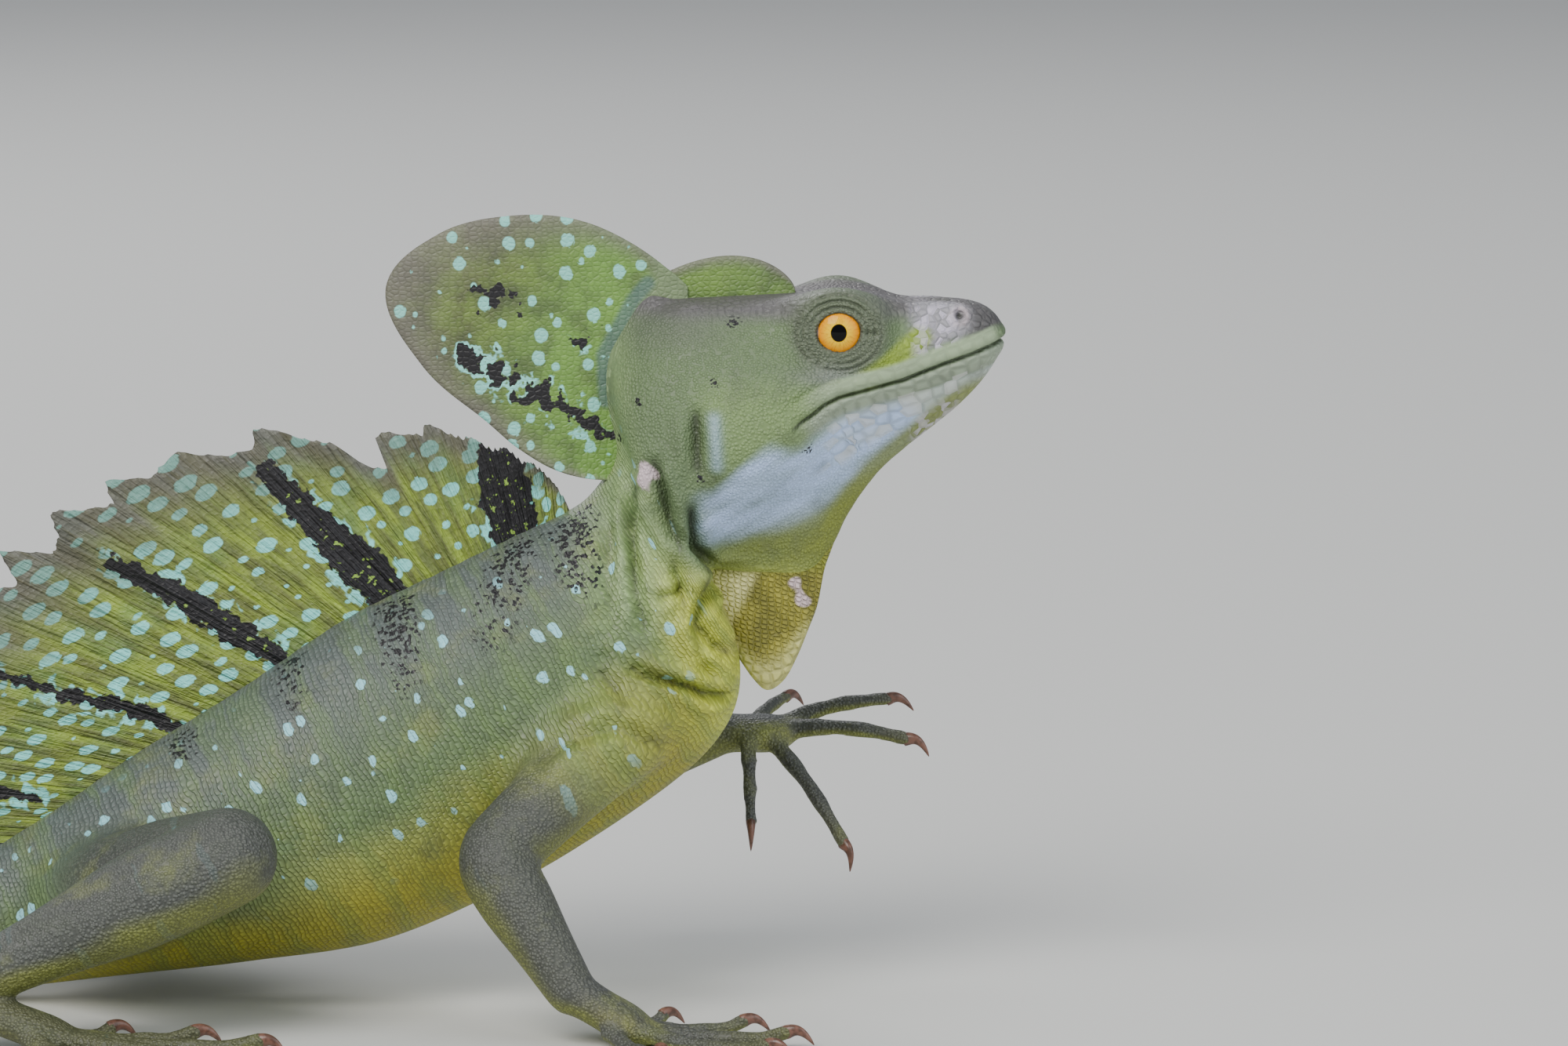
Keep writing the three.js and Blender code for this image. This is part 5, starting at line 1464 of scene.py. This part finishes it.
def eyeFinish():
    # rings round the line that looks sideways: pupil, two-toned iris with fine streaks, and a dark rim
    f = Finish("eye_glass")
    x, _, z = f.split(f.millimetres())
    dx, dz = f.minus(x, float(eyeCentre[0])), f.minus(z, float(eyeCentre[2]))
    xx, zz = f.times(dx, dx), f.times(dz, dz)
    r = f.math("SQRT", f.plus(xx, zz))
    streak = f.noise(f.joined(f.times(f.math("ARCTAN2", dz, dx), 5.0), f.times(r, 0.6)), 1.4, 3.0, 0.7)
    f.colour = f.mix(f.between(r, 1.5, 3.3), tint(eyeLook["inner"]), tint(eyeLook["outer"]))
    f.lay(f.between(streak, 0.45, 0.7, 0.0, 0.45), eyeLook["streak"])
    f.lay(f.between(r, eyeLook["irisSize"], eyeLook["irisSize"] + 0.45), eyeLook["ring"])
    f.lay(f.between(dx, -3.5, -3.15, 0.8, 0.0), eyeLook["corner"])
    pupil = f.math("SQRT", f.plus(f.times(xx, 1.25), zz))
    f.lay(f.fading(pupil, eyeLook["pupilSize"] - 0.07, eyeLook["pupilSize"] + 0.07), eyeLook["pupil"])
    coat = {"Specular IOR Level": 0.0, "Coat Weight": 0.6, "Coat Roughness": 0.03, "Coat IOR": 1.35}
    return f.done(0.4, **coat)


clawLook = {"pale": (120, 84, 70), "dark": (84, 58, 46), "rough": 0.32, "relief": 0.02}


def clawFinish():
    # brown horn with cloudy darker parts
    f = Finish("claw_horn")
    mm = f.millimetres()
    cloud = f.between(f.noise(mm, 0.9, 2.0), 0.4, 0.65)
    f.colour = f.mix(cloud, tint(clawLook["pale"]), tint(clawLook["dark"]))
    return f.done(clawLook["rough"], f.noise(mm, 3.0, 2.0), clawLook["relief"])


farAway = 50.0  # a mark that a piece doesn't have
sailBars = np.minimum.reduce([fromBar(sailPoints, line, halves) for line, halves in bars.values()])
setAttribute(sailObject.data, "bar", np.minimum(sailBars, farAway))
setAttribute(tailCrestObject.data, "bar", np.full(len(tailCrestPoints), farAway))
for name, values in crestMarksAt(rearCrestPoints).items():
    setAttribute(rearCrestObject.data, name, values)
for name, value in {"bar": farAway, "band": farAway, "fromHead": -15.0}.items():
    setAttribute(frontCrestObject.data, name, np.full(len(frontCrestPoints), value))
for piece, shape, spotShare in ((rearCrestObject, rearCrest, 1.0), (frontCrestObject, frontCrest, 0.0)):
    v = finHeight(shape)
    setAttribute(piece.data, "rimNear", v)
    setAttribute(piece.data, "spotShare", np.full(len(v), spotShare))
x, z, v = dewlapPoints[:, 0], dewlapPoints[:, 2], finHeight(dewlap)
patch = np.hypot(x - dewlapLook["patchX"], (z - dewlapLook["patchZ"]) * 0.8)
patch = patch + 0.9 * waves(dewlapPoints, 3.4, 2)
dewlapShares = {
    "bead": smooth(v, 0.72, 0.92) * smooth(65 - z, 0, 6),
    "web": (1 - smooth(x - (z - 60) * 0.5, 14.5, 17)) * 0.9,
    "pinkPatch": 1 - smooth(patch, 1.2, 1.7),
    "throatTop": smooth(z, 69.5, 72.5),
}
for name, share in dewlapShares.items():
    setAttribute(dewlapObject.data, name, share)

crestMaterial, eyeMaterial = crestFinish(), eyeFinish()
finishes = {
    skin: skinFinish(), sailObject: finFinish("sail_skin", 1.0),
    tailCrestObject: finFinish("tail_fin_skin", 0.0), rearCrestObject: crestMaterial,
    frontCrestObject: crestMaterial, dewlapObject: dewlapFinish(), clawObject: clawFinish(),
    eyeObjects["eye_right"]: eyeMaterial, eyeObjects["eye_left"]: eyeMaterial,
}
for piece, finish in finishes.items():
    piece.data.materials.clear()
    piece.data.materials.append(finish)

legNodes = [f"{name}_{part}" for name in legs for part in
            (("upper_arm", "forearm", "hand") if name.endswith("fore") else ("thigh", "shank", "foot"))]
clawNodes = [f"{name}_claw_{k}" for name in legs for k in range(1, 6)]
replaced = {
    skin: ["head", "neck", "torso", "tail_1", "tail_2", "tail_3", "tail_4"] + legNodes,
    sailObject: ["dorsal_sail"],
    tailCrestObject: ["tail_crest_1", "tail_crest_2"],
    rearCrestObject: ["head_crest_rear"],
    frontCrestObject: ["head_crest_front"],
    dewlapObject: ["dewlap"],
    eyeObjects["eye_right"]: ["eye_right"],
    eyeObjects["eye_left"]: ["eye_left"],
    clawObject: clawNodes,
}
for piece, nodes in replaced.items():
    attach(piece, "root")
    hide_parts(*nodes)

print("placing the camera and the lights")
view = {"aim": (25.5, 0, 78.7), "distance": 1420, "elevation": 8, "lens": 200.5}
cameraData = bpy.data.cameras.new("camera")
camera = addToScene("camera", cameraData)
bpy.context.scene.camera = camera
elevation = math.radians(view["elevation"])
aim = np.array(view["aim"]) / 1000 + frameShift
camera.location = aim + np.array([0, -math.cos(elevation), math.sin(elevation)]) * view["distance"] / 1000
camera.rotation_euler = (math.pi / 2 - elevation, 0, 0)
cameraData.lens = view["lens"]
cameraData.clip_end = 20

lamps = {
    "key": {"place": (-0.5, -1.3, 1.5), "size": 1.2, "power": 44, "colour": (1, 0.98, 0.94)},
    "fill": {"place": (1.4, -0.8, 0.8), "size": 1.4, "power": 12, "colour": (0.92, 0.97, 1)},
    "back": {"place": (-0.3, 1.3, 1.2), "size": 1.0, "power": 14, "colour": (1, 1, 1)},
}
for name, lamp in lamps.items():
    light = bpy.data.lights.new(name, "AREA")
    light.energy, light.size, light.color = lamp["power"], lamp["size"], lamp["colour"]
    holder = addToScene(name, light)
    holder.location = lamp["place"]
    holder.rotation_euler = (Vector(aim) - holder.location).to_track_quat("-Z", "Y").to_euler()
sky = bpy.data.worlds.new("sky")
sky.use_nodes = True
background = sky.node_tree.nodes["Background"]
background.inputs["Color"].default_value = (0.85, 0.9, 1, 1)
background.inputs["Strength"].default_value = 0.36
bpy.context.scene.world = sky

floorMesh = bpy.data.meshes.new("floor")
floorMesh.from_pydata([(-9, -9, 0), (9, -9, 0), (9, 9, 0), (-9, 9, 0)], [], [(0, 1, 2, 3)])
floor = addToScene("floor", floorMesh)
floorPaint = bpy.data.materials.new("pale_floor")
floorPaint.use_nodes = True
floorInputs = floorPaint.node_tree.nodes["Principled BSDF"].inputs
floorInputs["Base Color"].default_value = (0.62, 0.62, 0.6, 1)
floorInputs["Roughness"].default_value = 0.9
floorMesh.materials.append(floorPaint)
